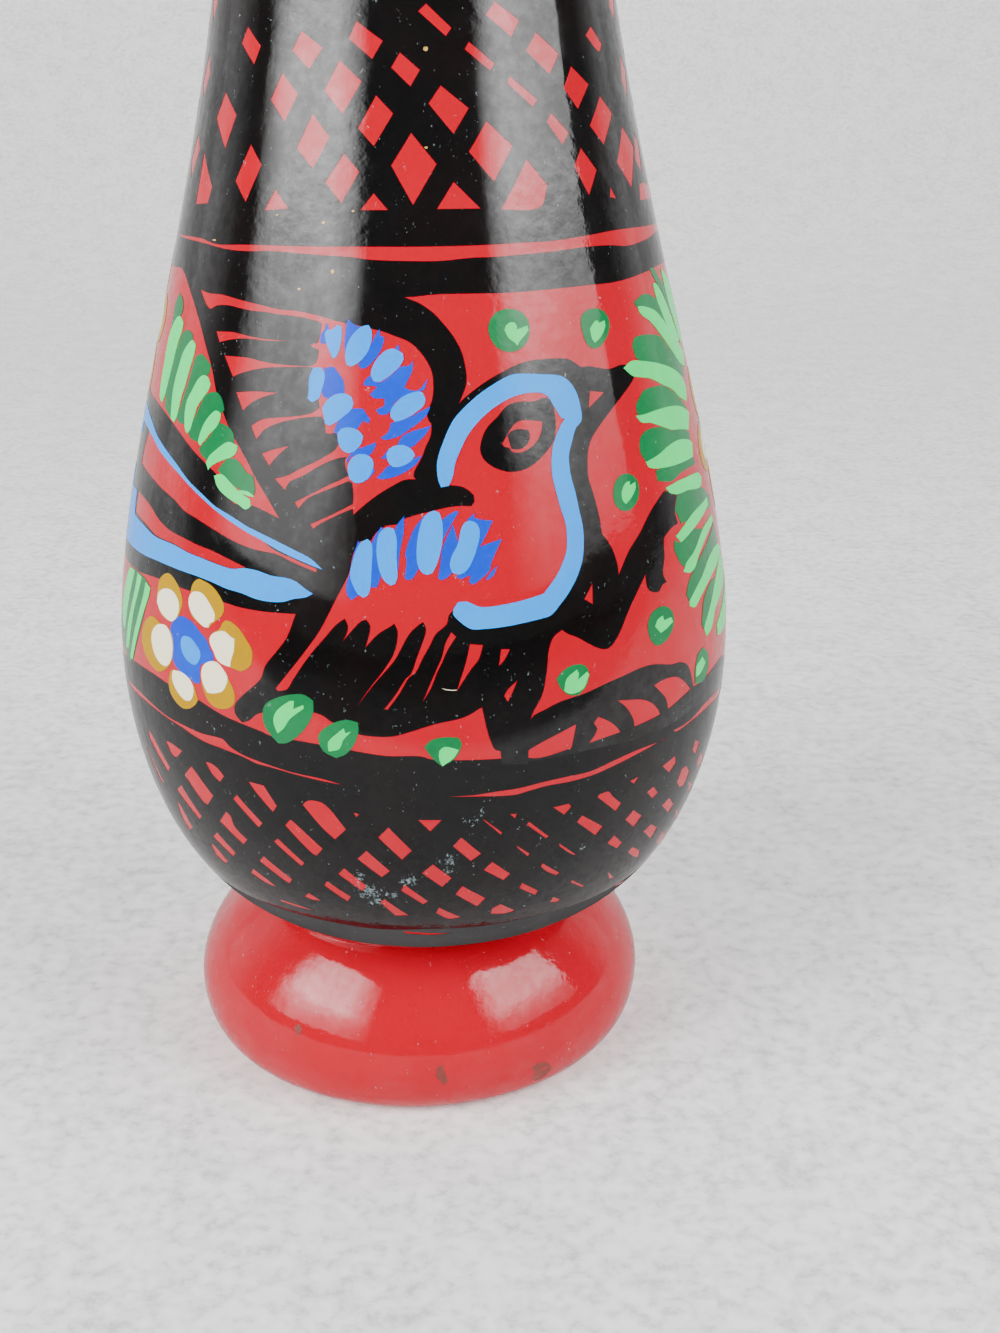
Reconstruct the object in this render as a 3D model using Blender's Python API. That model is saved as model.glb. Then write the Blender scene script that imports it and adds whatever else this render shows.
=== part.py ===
"""A clay vase on a rounded foot ring, built from the sections that a potter lutes together.

Run it with blender --background --python part.py, or from Blender's text editor.
Lengths are in metres. +Z is up, the vase stands on z = 0, and its axis is the Z axis.
"""

import math

import bmesh
import bpy
from mathutils import Vector

# Turned sections: the number of straight sides round the vase
SIDES = 48

# Body, from the underside of its floor to the waist of the neck
SLIP = 0.0008                 # thickness of each luting of slip
WALL = 0.0055
FLOOR = 0.0075
BASE_RADIUS = 0.0290          # flat underside of the floor
BOWL_RISE = 0.0513            # from the underside of the floor to the belly
BELLY_RADIUS = 0.0575
BELLY_FULLNESS = 0.0344       # how far the wall keeps upright above the belly
WAIST_RISE = 0.1462           # from the belly to the waist
WAIST_RADIUS = 0.0308         # narrowest place of the neck
WAIST_FULLNESS = 0.0491       # how far the wall keeps upright below the waist
NECK_LUTE_RISE = 0.0752       # from the belly to the lute under the neck

# Flared lip
LIP_LUTE_RISE = 0.0220        # from the waist to the lute under the lip
LIP_RISE = 0.0520             # from the waist to the top of the rim
LIP_FLARE = 0.0092            # how far the rim stands out past the waist
ROLL_RADIUS = 0.0034          # of the rolled rim's own round section
FLARE_START = 0.0200          # how far the neck keeps upright above the waist
FLARE_REACH = 0.0130          # how far the flare runs straight before the roll
FLARE_ANGLE = math.radians(45)

# Foot ring
FOOT_HEIGHT = 0.0297
FOOT_RADIUS = 0.0447          # where the ring is widest
FOOT_SIDE_HEIGHT = 0.0103     # height of the widest place
FOOT_EDGE = 0.0061            # how far the lower edge turns in
FOOT_EDGE_FULLNESS = 2.1      # 2 rounds the edge to an ellipse, more makes it squarer
FOOT_REST_WIDTH = 0.0056      # of the flat that the vase stands on
FOOT_INNER_HEIGHT = 0.0140    # where the recess starts to narrow
FOOT_FULLNESS = 0.0054        # how far the round side holds its width going up
FOOT_TOP_OVERHANG = 0.0035    # of the foot's top outside the body's base
FOOT_TOP_SLOPE = 38.0         # degrees, where the foot runs in under the belly
FOOT_TOP_REACH = 0.0108       # how far that slope carries on down
FOOT_LUTE_WIDTH = 0.0046
FOOT_SHIFT = -0.0024          # the ring was luted a little off the body's axis

# Heights and radii that follow from the sizes above
BASE_HEIGHT = FOOT_HEIGHT + SLIP
BELLY_HEIGHT = BASE_HEIGHT + BOWL_RISE
NECK_LUTE_HEIGHT = BELLY_HEIGHT + NECK_LUTE_RISE
WAIST_HEIGHT = BELLY_HEIGHT + WAIST_RISE
LIP_LUTE_HEIGHT = WAIST_HEIGHT + LIP_LUTE_RISE
VASE_HEIGHT = WAIST_HEIGHT + LIP_RISE
RIM_RADIUS = WAIST_RADIUS + LIP_FLARE
FOOT_LUTE_RADIUS = BASE_RADIUS - FOOT_LUTE_WIDTH

# Points along each curve
FOOT_ARC_POINTS = 7
FOOT_SIDE_POINTS = 10
LOWER_BOWL_POINTS = 11
UPPER_BOWL_POINTS = 9
NECK_POINTS = 9
FLARE_POINTS = 7
ROLL_POINTS = 9

RED_ENAMEL = (0.60, 0.012, 0.016)
BLACK_ENAMEL = (0.012, 0.011, 0.012)
PALE_SLIP = (0.62, 0.40, 0.27)
ENAMEL_ROUGHNESS = 0.12
SLIP_ROUGHNESS = 0.9

MERGE_DISTANCE = 0.000001


def clear_scene():
    for item in list(bpy.data.objects):
        bpy.data.objects.remove(item, do_unlink=True)


def make_material(name, colour, roughness):
    material = bpy.data.materials.new(name)
    material.use_nodes = True
    shader = material.node_tree.nodes["Principled BSDF"]
    shader.inputs["Base Color"].default_value = (*colour, 1.0)
    shader.inputs["Roughness"].default_value = roughness
    shader.inputs["Metallic"].default_value = 0.0
    return material


def spread(count):
    """Evenly spaced shares from 0 to 1, both ends in."""
    return [i / (count - 1) for i in range(count)]


def bezier(points, share):
    """A point (radius, height) of the cubic curve with these four control points."""
    a, b, c, d = (Vector(p) for p in points)
    rest = 1 - share
    return a * rest**3 + 3 * b * share * rest**2 + 3 * c * share**2 * rest + d * share**3


def share_at_height(points, height):
    """How far along a rising curve this height lies, found by halving."""
    low, high = 0.0, 1.0
    for _ in range(50):
        middle = (low + high) / 2
        if bezier(points, middle).y < height:
            low = middle
        else:
            high = middle
    return (low + high) / 2


def curve_between(points, low, high, count):
    """Points of the curve from one height up to another."""
    first = share_at_height(points, low)
    last = share_at_height(points, high)
    path = [tuple(bezier(points, first + (last - first) * t)) for t in spread(count)]
    path[0] = (path[0][0], low)
    path[-1] = (path[-1][0], high)
    return path


def bowl_curve(base_height, belly_radius):
    """A quarter ellipse from the edge of the floor up to the belly."""
    path = []
    for t in spread(LOWER_BOWL_POINTS):
        angle = t * math.pi / 2
        radius = BASE_RADIUS + (belly_radius - BASE_RADIUS) * math.sin(angle)
        height = BELLY_HEIGHT - (BELLY_HEIGHT - base_height) * math.cos(angle)
        path.append((radius, height))
    return path


def body_wall(inset):
    """Control points of the wall from the belly to the waist, on the surface this far inside."""
    return [
        (BELLY_RADIUS - inset, BELLY_HEIGHT),
        (BELLY_RADIUS - inset, BELLY_HEIGHT + BELLY_FULLNESS),
        (WAIST_RADIUS - inset, WAIST_HEIGHT - WAIST_FULLNESS),
        (WAIST_RADIUS - inset, WAIST_HEIGHT),
    ]


def roll_point(angle):
    """A point of the rolled rim's round section; angle 0 faces outwards, a quarter turn faces up."""
    radius = RIM_RADIUS - ROLL_RADIUS + ROLL_RADIUS * math.cos(angle)
    height = VASE_HEIGHT - ROLL_RADIUS + ROLL_RADIUS * math.sin(angle)
    return radius, height


def flare_wall(inset):
    """Control points of the flare from the waist up to the rolled rim, outside or inside."""
    quarter = math.pi / 2 if inset else -math.pi / 2
    top = roll_point(FLARE_ANGLE + quarter)
    below_top = (
        top[0] - FLARE_REACH * math.cos(FLARE_ANGLE),
        top[1] - FLARE_REACH * math.sin(FLARE_ANGLE),
    )
    waist = WAIST_RADIUS - inset
    return [(waist, WAIST_HEIGHT), (waist, WAIST_HEIGHT + FLARE_START), below_top, top]


def neck_curve(inset, low, high, count):
    """The neck's wall between two heights, below, across or above the waist."""
    if high <= WAIST_HEIGHT:
        return curve_between(body_wall(inset), low, high, count)
    if low >= WAIST_HEIGHT:
        return curve_between(flare_wall(inset), low, high, count)
    below = max(3, round(count * (WAIST_HEIGHT - low) / (high - low)))
    above = max(3, count + 1 - below)
    lower = curve_between(body_wall(inset), low, WAIST_HEIGHT, below)
    upper = curve_between(flare_wall(inset), WAIST_HEIGHT, high, above)
    return lower + upper[1:]


def turned(name, outline, base_height, material, closed=True, shift=0.0):
    """Spins an outline of (radius, height) points round the Z axis into one closed solid."""
    mesh = bpy.data.meshes.new(name)
    shape = bmesh.new()
    corners = [shape.verts.new((radius, 0, height - base_height)) for radius, height in outline]
    edges = [shape.edges.new(pair) for pair in zip(corners, corners[1:])]
    if closed:
        edges.append(shape.edges.new((corners[-1], corners[0])))
    bmesh.ops.spin(
        shape,
        geom=corners + edges,
        cent=(0, 0, 0),
        axis=(0, 0, 1),
        dvec=(0, 0, 0),
        angle=math.tau,
        steps=SIDES,
        use_merge=True,
        use_duplicate=False,
    )
    bmesh.ops.remove_doubles(shape, verts=shape.verts, dist=MERGE_DISTANCE)
    bmesh.ops.recalc_face_normals(shape, faces=shape.faces)
    shape.to_mesh(mesh)
    shape.free()
    mesh.shade_smooth()
    mesh.set_sharp_from_angle(angle=math.radians(35))
    mesh.materials.append(material)
    piece = bpy.data.objects.new(name, mesh)
    bpy.context.scene.collection.objects.link(piece)
    piece.location = (shift, 0, base_height)
    return piece


def foot_ring(material):
    """The hollow ring under the body: flat rest, full round side, slope in under the belly."""
    rest_radius = FOOT_RADIUS - FOOT_EDGE
    power = 2 / FOOT_EDGE_FULLNESS
    slope = math.radians(FOOT_TOP_SLOPE)
    top = (BASE_RADIUS + FOOT_TOP_OVERHANG, FOOT_HEIGHT)
    side = (
        (FOOT_RADIUS, FOOT_SIDE_HEIGHT),
        (FOOT_RADIUS, FOOT_SIDE_HEIGHT + FOOT_FULLNESS),
        (top[0] + FOOT_TOP_REACH * math.cos(slope), top[1] - FOOT_TOP_REACH * math.sin(slope)),
        top,
    )
    outline = []
    for t in spread(FOOT_ARC_POINTS):
        angle = t * math.pi / 2
        radius = rest_radius + FOOT_EDGE * math.sin(angle) ** power
        height = FOOT_SIDE_HEIGHT * (1 - max(0.0, math.cos(angle)) ** power)
        outline.append((radius, height))
    for t in spread(FOOT_SIDE_POINTS)[1:]:
        shares = ((1 - t) ** 3, 3 * t * (1 - t) ** 2, 3 * t * t * (1 - t), t**3)
        outline.append(tuple(sum(s * p[k] for s, p in zip(shares, side)) for k in (0, 1)))
    outline.append((FOOT_LUTE_RADIUS - abs(FOOT_SHIFT), FOOT_HEIGHT))
    outline.append((rest_radius - FOOT_REST_WIDTH, FOOT_INNER_HEIGHT))
    outline.append((rest_radius - FOOT_REST_WIDTH, 0))
    return turned("foot_ring", outline, 0, material, shift=FOOT_SHIFT)


def foot_slip(material):
    """Slip between the foot ring's top and the floor, which carries it all the way round."""
    outline = [
        (BASE_RADIUS, FOOT_HEIGHT),
        (BASE_RADIUS, BASE_HEIGHT),
        (FOOT_LUTE_RADIUS, BASE_HEIGHT),
        (FOOT_LUTE_RADIUS, FOOT_HEIGHT),
    ]
    return turned("foot_slip", outline, FOOT_HEIGHT, material)


def lower_bowl(material):
    """The floor and the lower half of the belly, up to its widest place."""
    outer = bowl_curve(BASE_HEIGHT, BELLY_RADIUS)
    inner = bowl_curve(BASE_HEIGHT + FLOOR, BELLY_RADIUS - WALL)
    outline = [(0, BASE_HEIGHT)] + outer + inner[::-1] + [(0, BASE_HEIGHT + FLOOR)]
    return turned("lower_bowl", outline, BASE_HEIGHT, material, closed=False)


def wall_section(name, low, high, count, material):
    """A piece of the body's wall between two lutes."""
    outer = neck_curve(0, low, high, count)
    inner = neck_curve(WALL, low, high, count)
    return turned(name, outer + inner[::-1], low, material)


def lip_ring(low, material):
    """The flared lip, which ends in a rolled rim."""
    outer_wall = flare_wall(0)
    inner_wall = flare_wall(WALL)
    outer = curve_between(outer_wall, low, outer_wall[-1][1], FLARE_POINTS)
    inner = curve_between(inner_wall, low, inner_wall[-1][1], FLARE_POINTS)
    start = FLARE_ANGLE - math.pi / 2
    roll = [roll_point(start + t * math.pi) for t in spread(ROLL_POINTS)[1:-1]]
    return turned("lip_ring", outer + roll + inner[::-1], low, material)


def build_vase():
    slip = make_material("pale_slip", PALE_SLIP, SLIP_ROUGHNESS)
    red = make_material("red_enamel", RED_ENAMEL, ENAMEL_ROUGHNESS)
    black = make_material("black_enamel", BLACK_ENAMEL, ENAMEL_ROUGHNESS)
    belly_top = BELLY_HEIGHT + SLIP
    neck_base = NECK_LUTE_HEIGHT + SLIP
    lip_base = LIP_LUTE_HEIGHT + SLIP
    pieces = [
        foot_ring(red),
        foot_slip(slip),
        lower_bowl(black),
        wall_section("belly_slip", BELLY_HEIGHT, belly_top, 2, slip),
        wall_section("upper_bowl", belly_top, NECK_LUTE_HEIGHT, UPPER_BOWL_POINTS, red),
        wall_section("neck_slip", NECK_LUTE_HEIGHT, neck_base, 2, slip),
        wall_section("neck_tube", neck_base, LIP_LUTE_HEIGHT, NECK_POINTS, black),
        wall_section("lip_slip", LIP_LUTE_HEIGHT, lip_base, 2, slip),
        lip_ring(lip_base, red),
    ]
    vase = bpy.data.objects.new("vase", None)
    bpy.context.scene.collection.objects.link(vase)
    for piece in pieces:
        piece.parent = vase


clear_scene()
build_vase()
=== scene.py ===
# %% [markdown]
# A hand-painted clay vase. The potter's sections, the red enamel that covers them and every
# brush stroke are separate meshes here, because on the real vase they are separate layers.
# The imported model is loaded first and stays as it is.

# %% The frame
import math

import bmesh
import bpy
import numpy as np
from mathutils import Matrix, Vector, noise


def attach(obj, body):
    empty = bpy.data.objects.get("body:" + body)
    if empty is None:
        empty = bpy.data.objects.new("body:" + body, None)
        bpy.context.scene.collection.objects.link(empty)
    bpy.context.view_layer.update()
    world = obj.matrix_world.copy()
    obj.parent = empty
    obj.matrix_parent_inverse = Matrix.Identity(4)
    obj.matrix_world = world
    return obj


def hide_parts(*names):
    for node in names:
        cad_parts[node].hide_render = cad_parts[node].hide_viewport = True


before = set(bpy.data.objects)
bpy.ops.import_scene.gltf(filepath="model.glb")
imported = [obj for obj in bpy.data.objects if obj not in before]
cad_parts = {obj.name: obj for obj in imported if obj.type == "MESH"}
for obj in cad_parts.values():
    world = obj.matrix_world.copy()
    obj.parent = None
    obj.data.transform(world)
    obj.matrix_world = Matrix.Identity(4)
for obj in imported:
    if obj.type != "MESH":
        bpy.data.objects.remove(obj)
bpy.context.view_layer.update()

MM = 0.001
print("CAD nodes:", sorted(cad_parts))

# %% [markdown]
# The camera comes before the paint, because the painted outlines are picked on the photograph
# and carried to the vase along the camera's rays. Its place and turn were solved from the
# vase's outline. The focal length is in photo pixels, and the sensor's long side stands for
# the photo's height.

# %% Camera
PHOTO_WIDTH, PHOTO_HEIGHT = 1000, 1333
FOCAL_PIXELS = 1673
SENSOR = 36.0
CAMERA_PLACE = Vector((0.0, -305.2, 188.9))
CAMERA_PITCH, CAMERA_YAW, CAMERA_ROLL = math.radians(20.74), math.radians(2.67), math.radians(-0.09)


def camera_axes():
    """Unit vectors along the view, to the right and up."""
    ahead = Vector((
        math.sin(CAMERA_YAW) * math.cos(CAMERA_PITCH),
        math.cos(CAMERA_YAW) * math.cos(CAMERA_PITCH),
        -math.sin(CAMERA_PITCH),
    ))
    level = Vector((math.cos(CAMERA_YAW), -math.sin(CAMERA_YAW), 0))
    turn = Matrix.Rotation(-CAMERA_ROLL, 3, ahead)
    return ahead, turn @ level, turn @ level.cross(ahead)


ahead, right, up = camera_axes()
lens = bpy.data.cameras.new("photo_camera")
lens.sensor_fit = "VERTICAL"
lens.sensor_height = SENSOR
lens.lens = FOCAL_PIXELS * SENSOR / PHOTO_HEIGHT
lens.clip_start = 0.01
camera = bpy.data.objects.new("photo_camera", lens)
bpy.context.scene.collection.objects.link(camera)
camera_turn = Matrix((right, up, -ahead)).transposed().to_4x4()
camera.matrix_world = Matrix.Translation(CAMERA_PLACE * MM) @ camera_turn
bpy.context.scene.camera = camera
print("camera focal length:", round(lens.lens, 2), "mm")

# %% [markdown]
# The vase is a turned form, so one curve of (radius, height) points describes all of its
# outside: the foot's edge, its round side that runs in under the belly, the crease, the belly,
# the long neck, the flare and the rolled rim, and then a little way down inside the mouth. The
# sizes are those of the CAD source, in millimetres. Each part of the curve has enough points to
# look round in a close view.

# %% The outside curve
BASE_RADIUS, BASE_HEIGHT = 29.0, 30.5
BELLY_RADIUS, BELLY_HEIGHT, BELLY_FULLNESS = 57.5, 81.8, 34.4
WAIST_RADIUS, WAIST_HEIGHT, WAIST_FULLNESS = 30.8, 228.0, 49.1
WALL, SLIP, FLOOR = 5.5, 0.8, 7.5
RIM_RADIUS, ROLL_RADIUS, VASE_HEIGHT = 40.0, 3.4, 280.0
FLARE_START, FLARE_REACH = 20.0, 13.0
FLARE_SHARE = math.sqrt(0.5)  # a flare at 45 degrees runs out and up by this share of its length
ROLL_OUTSIDE, ROLL_INSIDE = -45, 135    # degrees where the flare's two faces meet the roll
FOOT_HEIGHT, FOOT_RADIUS, FOOT_SIDE_HEIGHT, FOOT_EDGE = 29.7, 44.7, 10.3, 6.1
FOOT_EDGE_FULLNESS = 2.1      # 2 rounds the edge to an ellipse, more makes it squarer
FOOT_FULLNESS, FOOT_TOP_OVERHANG, FOOT_TOP_SLOPE, FOOT_TOP_REACH = 5.4, 3.5, 38.0, 10.8
FOOT_SHIFT = -2.4
CREASE_TOP = 32.0
COAT_DEPTH_INSIDE = 24.0
FOOT_POINTS, BOWL_POINTS, BODY_POINTS, FLARE_POINTS, ROLL_POINTS = 40, 160, 240, 80, 30


def steps(count):
    return [i / (count - 1) for i in range(count)]


def bezier(points, share):
    a, b, c, d = (Vector(p) for p in points)
    rest = 1 - share
    return tuple(a * rest**3 + 3 * b * share * rest**2 + 3 * c * share**2 * rest + d * share**3)


def roll_point(degrees):
    angle = math.radians(degrees)
    radius = RIM_RADIUS - ROLL_RADIUS + ROLL_RADIUS * math.cos(angle)
    return radius, VASE_HEIGHT - ROLL_RADIUS + ROLL_RADIUS * math.sin(angle)


def body_curve(inset=0.0):
    """Control points from the belly up to the waist."""
    return [
        (BELLY_RADIUS - inset, BELLY_HEIGHT),
        (BELLY_RADIUS - inset, BELLY_HEIGHT + BELLY_FULLNESS),
        (WAIST_RADIUS - inset, WAIST_HEIGHT - WAIST_FULLNESS),
        (WAIST_RADIUS - inset, WAIST_HEIGHT),
    ]


def flare_curve(inset=0.0):
    """Control points from the waist up to the rolled rim."""
    top = roll_point(ROLL_INSIDE if inset else ROLL_OUTSIDE)
    below = (top[0] - FLARE_REACH * FLARE_SHARE, top[1] - FLARE_REACH * FLARE_SHARE)
    waist = WAIST_RADIUS - inset
    return [(waist, WAIST_HEIGHT), (waist, WAIST_HEIGHT + FLARE_START), below, top]


def bowl_curve(base_height, belly_radius, count):
    path = []
    for t in steps(count):
        angle = t * math.pi / 2
        radius = BASE_RADIUS + (belly_radius - BASE_RADIUS) * math.sin(angle)
        path.append((radius, BELLY_HEIGHT - (BELLY_HEIGHT - base_height) * math.cos(angle)))
    return path


def foot_curve(count):
    """The foot ring's outside, from its rest up to where it runs in under the belly."""
    rest, top = FOOT_RADIUS - FOOT_EDGE, BASE_RADIUS + FOOT_TOP_OVERHANG
    power = 2 / FOOT_EDGE_FULLNESS
    path = []
    for t in steps(count):
        angle = t * math.pi / 2
        low = max(0.0, math.cos(angle)) ** power
        path.append((rest + FOOT_EDGE * math.sin(angle) ** power, FOOT_SIDE_HEIGHT * (1 - low)))
    slope = math.radians(FOOT_TOP_SLOPE)
    side = [
        (FOOT_RADIUS, FOOT_SIDE_HEIGHT),
        (FOOT_RADIUS, FOOT_SIDE_HEIGHT + FOOT_FULLNESS),
        (top + FOOT_TOP_REACH * math.cos(slope), FOOT_HEIGHT - FOOT_TOP_REACH * math.sin(slope)),
        (top, FOOT_HEIGHT),
    ]
    return path + [bezier(side, t) for t in steps(count)[1:]]


outside = foot_curve(FOOT_POINTS)
outside += [p for p in bowl_curve(BASE_HEIGHT, BELLY_RADIUS, BOWL_POINTS) if p[1] > CREASE_TOP]
outside += [bezier(body_curve(), t) for t in steps(BODY_POINTS)[1:]]
outside += [bezier(flare_curve(), t) for t in steps(FLARE_POINTS)[1:]]
outside += [roll_point(ROLL_OUTSIDE + 180 * t) for t in steps(ROLL_POINTS)[1:]]
inner_flare = [bezier(flare_curve(WALL), 1 - t) for t in steps(FLARE_POINTS)[1:]]
outside += [p for p in inner_flare if p[1] > VASE_HEIGHT - COAT_DEPTH_INSIDE]
outside = np.array(outside)
along = np.concatenate([[0], np.cumsum(np.hypot(*np.diff(outside, axis=0).T))])
print("outside curve:", len(outside), "points,", round(along[-1]), "mm long")

# %% [markdown]
# Paint is laid out flat before it is wrapped round the vase: across by the angle round the axis
# (0 at the front, growing towards +X), along by the distance up the outside curve. The helper
# below turns such a place into a point. The foot was luted a little off the body's axis, so the
# centre moves over as the curve comes down through the crease.

# %% From the flat layout to the vase
COAT_INSET = 0.14             # the red enamel lies this far inside the CAD surface
slope = np.gradient(outside, along, axis=0)
slope /= np.hypot(*slope.T)[:, None]
rising_rows = along < along[np.argmax(outside[:, 1])]
body_rows = rising_rows & (outside[:, 1] > CREASE_TOP)
HEIGHT_TO_ALONG = (outside[rising_rows, 1], along[rising_rows])


def up_the_wall(height):
    """Distance along the outside curve at a height of the vase."""
    return float(np.interp(height, *HEIGHT_TO_ALONG))


def wall_at(distance):
    """Radius and height of the outside curve, and how much its wall faces out and up there."""
    radius, height = (np.interp(distance, along, column) for column in outside.T)
    run, rise = (np.interp(distance, along, column) for column in slope.T)
    return radius, height, rise, -run


def shift_at(height):
    """How far the centre lies off the body's axis."""
    share = np.clip((CREASE_TOP - height) / (CREASE_TOP - FOOT_HEIGHT), 0, 1)
    return FOOT_SHIFT * share * share * (3 - 2 * share)


def on_vase(angle, distance, lift):
    """Points in metres, lift millimetres off the red enamel's surface."""
    radius, height, lean_out, lean_up = wall_at(distance)
    radius = radius + (lift - COAT_INSET) * lean_out
    height = height + (lift - COAT_INSET) * lean_up
    angle = np.radians(angle)
    across, back = radius * np.sin(angle) + shift_at(height), -radius * np.cos(angle)
    return np.stack([across, back, height], -1) * MM


# %% [markdown]
# A closer look at the photograph gives a painted outline in pixels of an enlargement. close_up
# names where that enlargement starts on the photo and how many times it is enlarged. Each pixel
# is sent along the camera's ray to the place where it meets the vase. A pixel just past the
# vase's edge takes the place where its ray passes nearest.

# %% From the photo to the flat layout
NEAR, FAR = 180.0, 420.0      # the vase lies between these distances from the camera
RAY_STEPS, HALVINGS = 480, 24
wall_radius, wall_height = outside[body_rows, 0], outside[body_rows, 1]


def gap_to_wall(place):
    radius = np.interp(place[..., 2], wall_height, wall_radius)
    return np.hypot(place[..., 0], place[..., 1]) - radius


def seen_at(pixel_x, pixel_y):
    """The flat place (angle, distance) that a photo pixel shows."""
    across = (pixel_x - PHOTO_WIDTH / 2) / FOCAL_PIXELS
    down = (pixel_y - PHOTO_HEIGHT / 2) / FOCAL_PIXELS
    ray = np.array((ahead + right * across - up * down).normalized())
    reach = np.linspace(NEAR, FAR, RAY_STEPS)
    gap = gap_to_wall(np.array(CAMERA_PLACE) + reach[:, None] * ray)
    inside = np.nonzero(gap <= 0)[0]
    if len(inside):
        low, high = reach[inside[0] - 1], reach[inside[0]]
        for _ in range(HALVINGS):
            middle = (low + high) / 2
            if gap_to_wall(np.array(CAMERA_PLACE) + middle * ray) > 0:
                low = middle
            else:
                high = middle
    else:
        high = reach[np.argmin(gap)]
    place = np.array(CAMERA_PLACE) + high * ray
    return math.degrees(math.atan2(place[0], -place[1])), up_the_wall(place[2])


def close_up(start_x, start_y, enlarged):
    """A reader of outlines picked on this enlargement of the photo."""
    def read(*points):
        return [seen_at(start_x + x / enlarged, start_y + y / enlarged) for x, y in points]
    return read


def each(reader, *outlines):
    """Reads several outlines that were picked on the same enlargement."""
    return [reader(*outline) for outline in outlines]


def by_height(*points):
    """Flat places from (angle, height) pairs, for what the photo doesn't show."""
    return [(angle, up_the_wall(height)) for angle, height in points]


photo = close_up(0, 0, 1)
print("middle of the photo:", [round(v, 1) for v in photo((500, 666))[0]])

# %% [markdown]
# A brush leaves soft bends and the odd sharp corner. soft_outline runs a smooth curve through
# the picked points, and keeps a corner wherever the outline turns sharply. Distances are
# measured with the belly's radius, which is near enough over the painted part.

# %% Smooth outlines
DEGREE = math.radians(1) * BELLY_RADIUS
CORNER = math.cos(math.radians(52))
OUTLINE_STEP = 0.7
NO_LENGTH = 1e-6


def soft_outline(points, closed=True):
    places = [Vector((angle * DEGREE, distance)) for angle, distance in points]
    count = len(places)
    result = []
    last = count if closed else count - 1
    for i in range(last):
        a, b = places[i], places[(i + 1) % count]
        before = places[i - 1] if closed or i else a
        after = places[(i + 2) % count] if closed or i + 2 < count else b
        span = (b - a).length
        if span < NO_LENGTH:
            continue
        ahead_of_it, leave, arrive = (b - a) / span, b - a, b - a
        if (a - before).length > NO_LENGTH and (a - before).normalized().dot(ahead_of_it) > CORNER:
            leave = (b - before).normalized() * span
        if (after - b).length > NO_LENGTH and (after - b).normalized().dot(ahead_of_it) > CORNER:
            arrive = (after - a).normalized() * span
        pieces = max(1, round(span / OUTLINE_STEP))
        for k in range(pieces):
            t = k / pieces
            place = a * (2 * t**3 - 3 * t**2 + 1) + leave * (t**3 - 2 * t**2 + t)
            place += b * (3 * t**2 - 2 * t**3) + arrive * (t**3 - t**2)
            result.append(place)
    if not closed:
        result.append(places[-1])
    return result


# %% [markdown]
# Every painted shape is a thin closed skin. It starts as an outline in the flat layout, with
# holes where the ground shows through. bmesh fills it, bisect_plane cuts it into small cells so
# that it can follow the vase's curve, and an extrusion gives it its thickness. Only then is it
# wrapped round the vase. Each colour lies a few hundredths of a millimetre above the one before.

# %% Painting
CELL, NECK_CELL = 2.0, 3.0    # the neck is narrow, so wider cells bend finely enough there
SEAM = 175.5                  # the angle where a band that goes all round meets itself
PAINT_ROOT = 0.03             # how far a skin reaches down into the enamel
BLACK_LIFT = 0.035
GRID_MARGIN, CUT_TOLERANCE, SEAM_TOLERANCE = 0.01, 1e-5, 1e-3
MERGE = 0.000002              # metres
FLUSH = 0.7                   # a face this close to the wall's direction takes the wall's normal
SHARP_EDGE = math.radians(35)


def close_ring(shape, outline):
    corners = [shape.verts.new((place.x, place.y, 0)) for place in outline]
    return [shape.edges.new((corners[i - 1], corners[i])) for i in range(len(corners))]


def fill_patch(shape, outline, holes=()):
    """Fills one outline, less its holes, with flat triangles."""
    edges = close_ring(shape, soft_outline(outline))
    for hole in holes:
        edges += close_ring(shape, soft_outline(hole))
    bmesh.ops.triangle_fill(shape, use_beauty=True, use_dissolve=False, edges=edges, normal=(0, 0, 1))


def cut_cells(shape, cell):
    """Cuts the flat faces along an even grid, halving the sheet again and again."""
    for axis in (0, 1):
        sheets = [list(shape.faces)]
        while sheets:
            faces = sheets.pop()
            values = [corner.co[axis] for face in faces for corner in face.verts]
            first = math.ceil(min(values) / cell + GRID_MARGIN)
            last = math.floor(max(values) / cell - GRID_MARGIN)
            if first > last:
                continue
            place, normal = Vector((0, 0, 0)), Vector((0, 0, 0))
            place[axis], normal[axis] = (first + last) // 2 * cell, 1
            geometry = faces + list({e for f in faces for e in f.edges})
            geometry += list({v for f in faces for v in f.verts})
            cut = bmesh.ops.bisect_plane(
                shape, geom=geometry, dist=CUT_TOLERANCE, plane_co=place, plane_no=normal)["geom"]
            faces = [part for part in cut if isinstance(part, bmesh.types.BMFace)]
            sheets.append([f for f in faces if f.calc_center_median()[axis] < place[axis]])
            sheets.append([f for f in faces if f.calc_center_median()[axis] >= place[axis]])
            sheets = [sheet for sheet in sheets if sheet]


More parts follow.
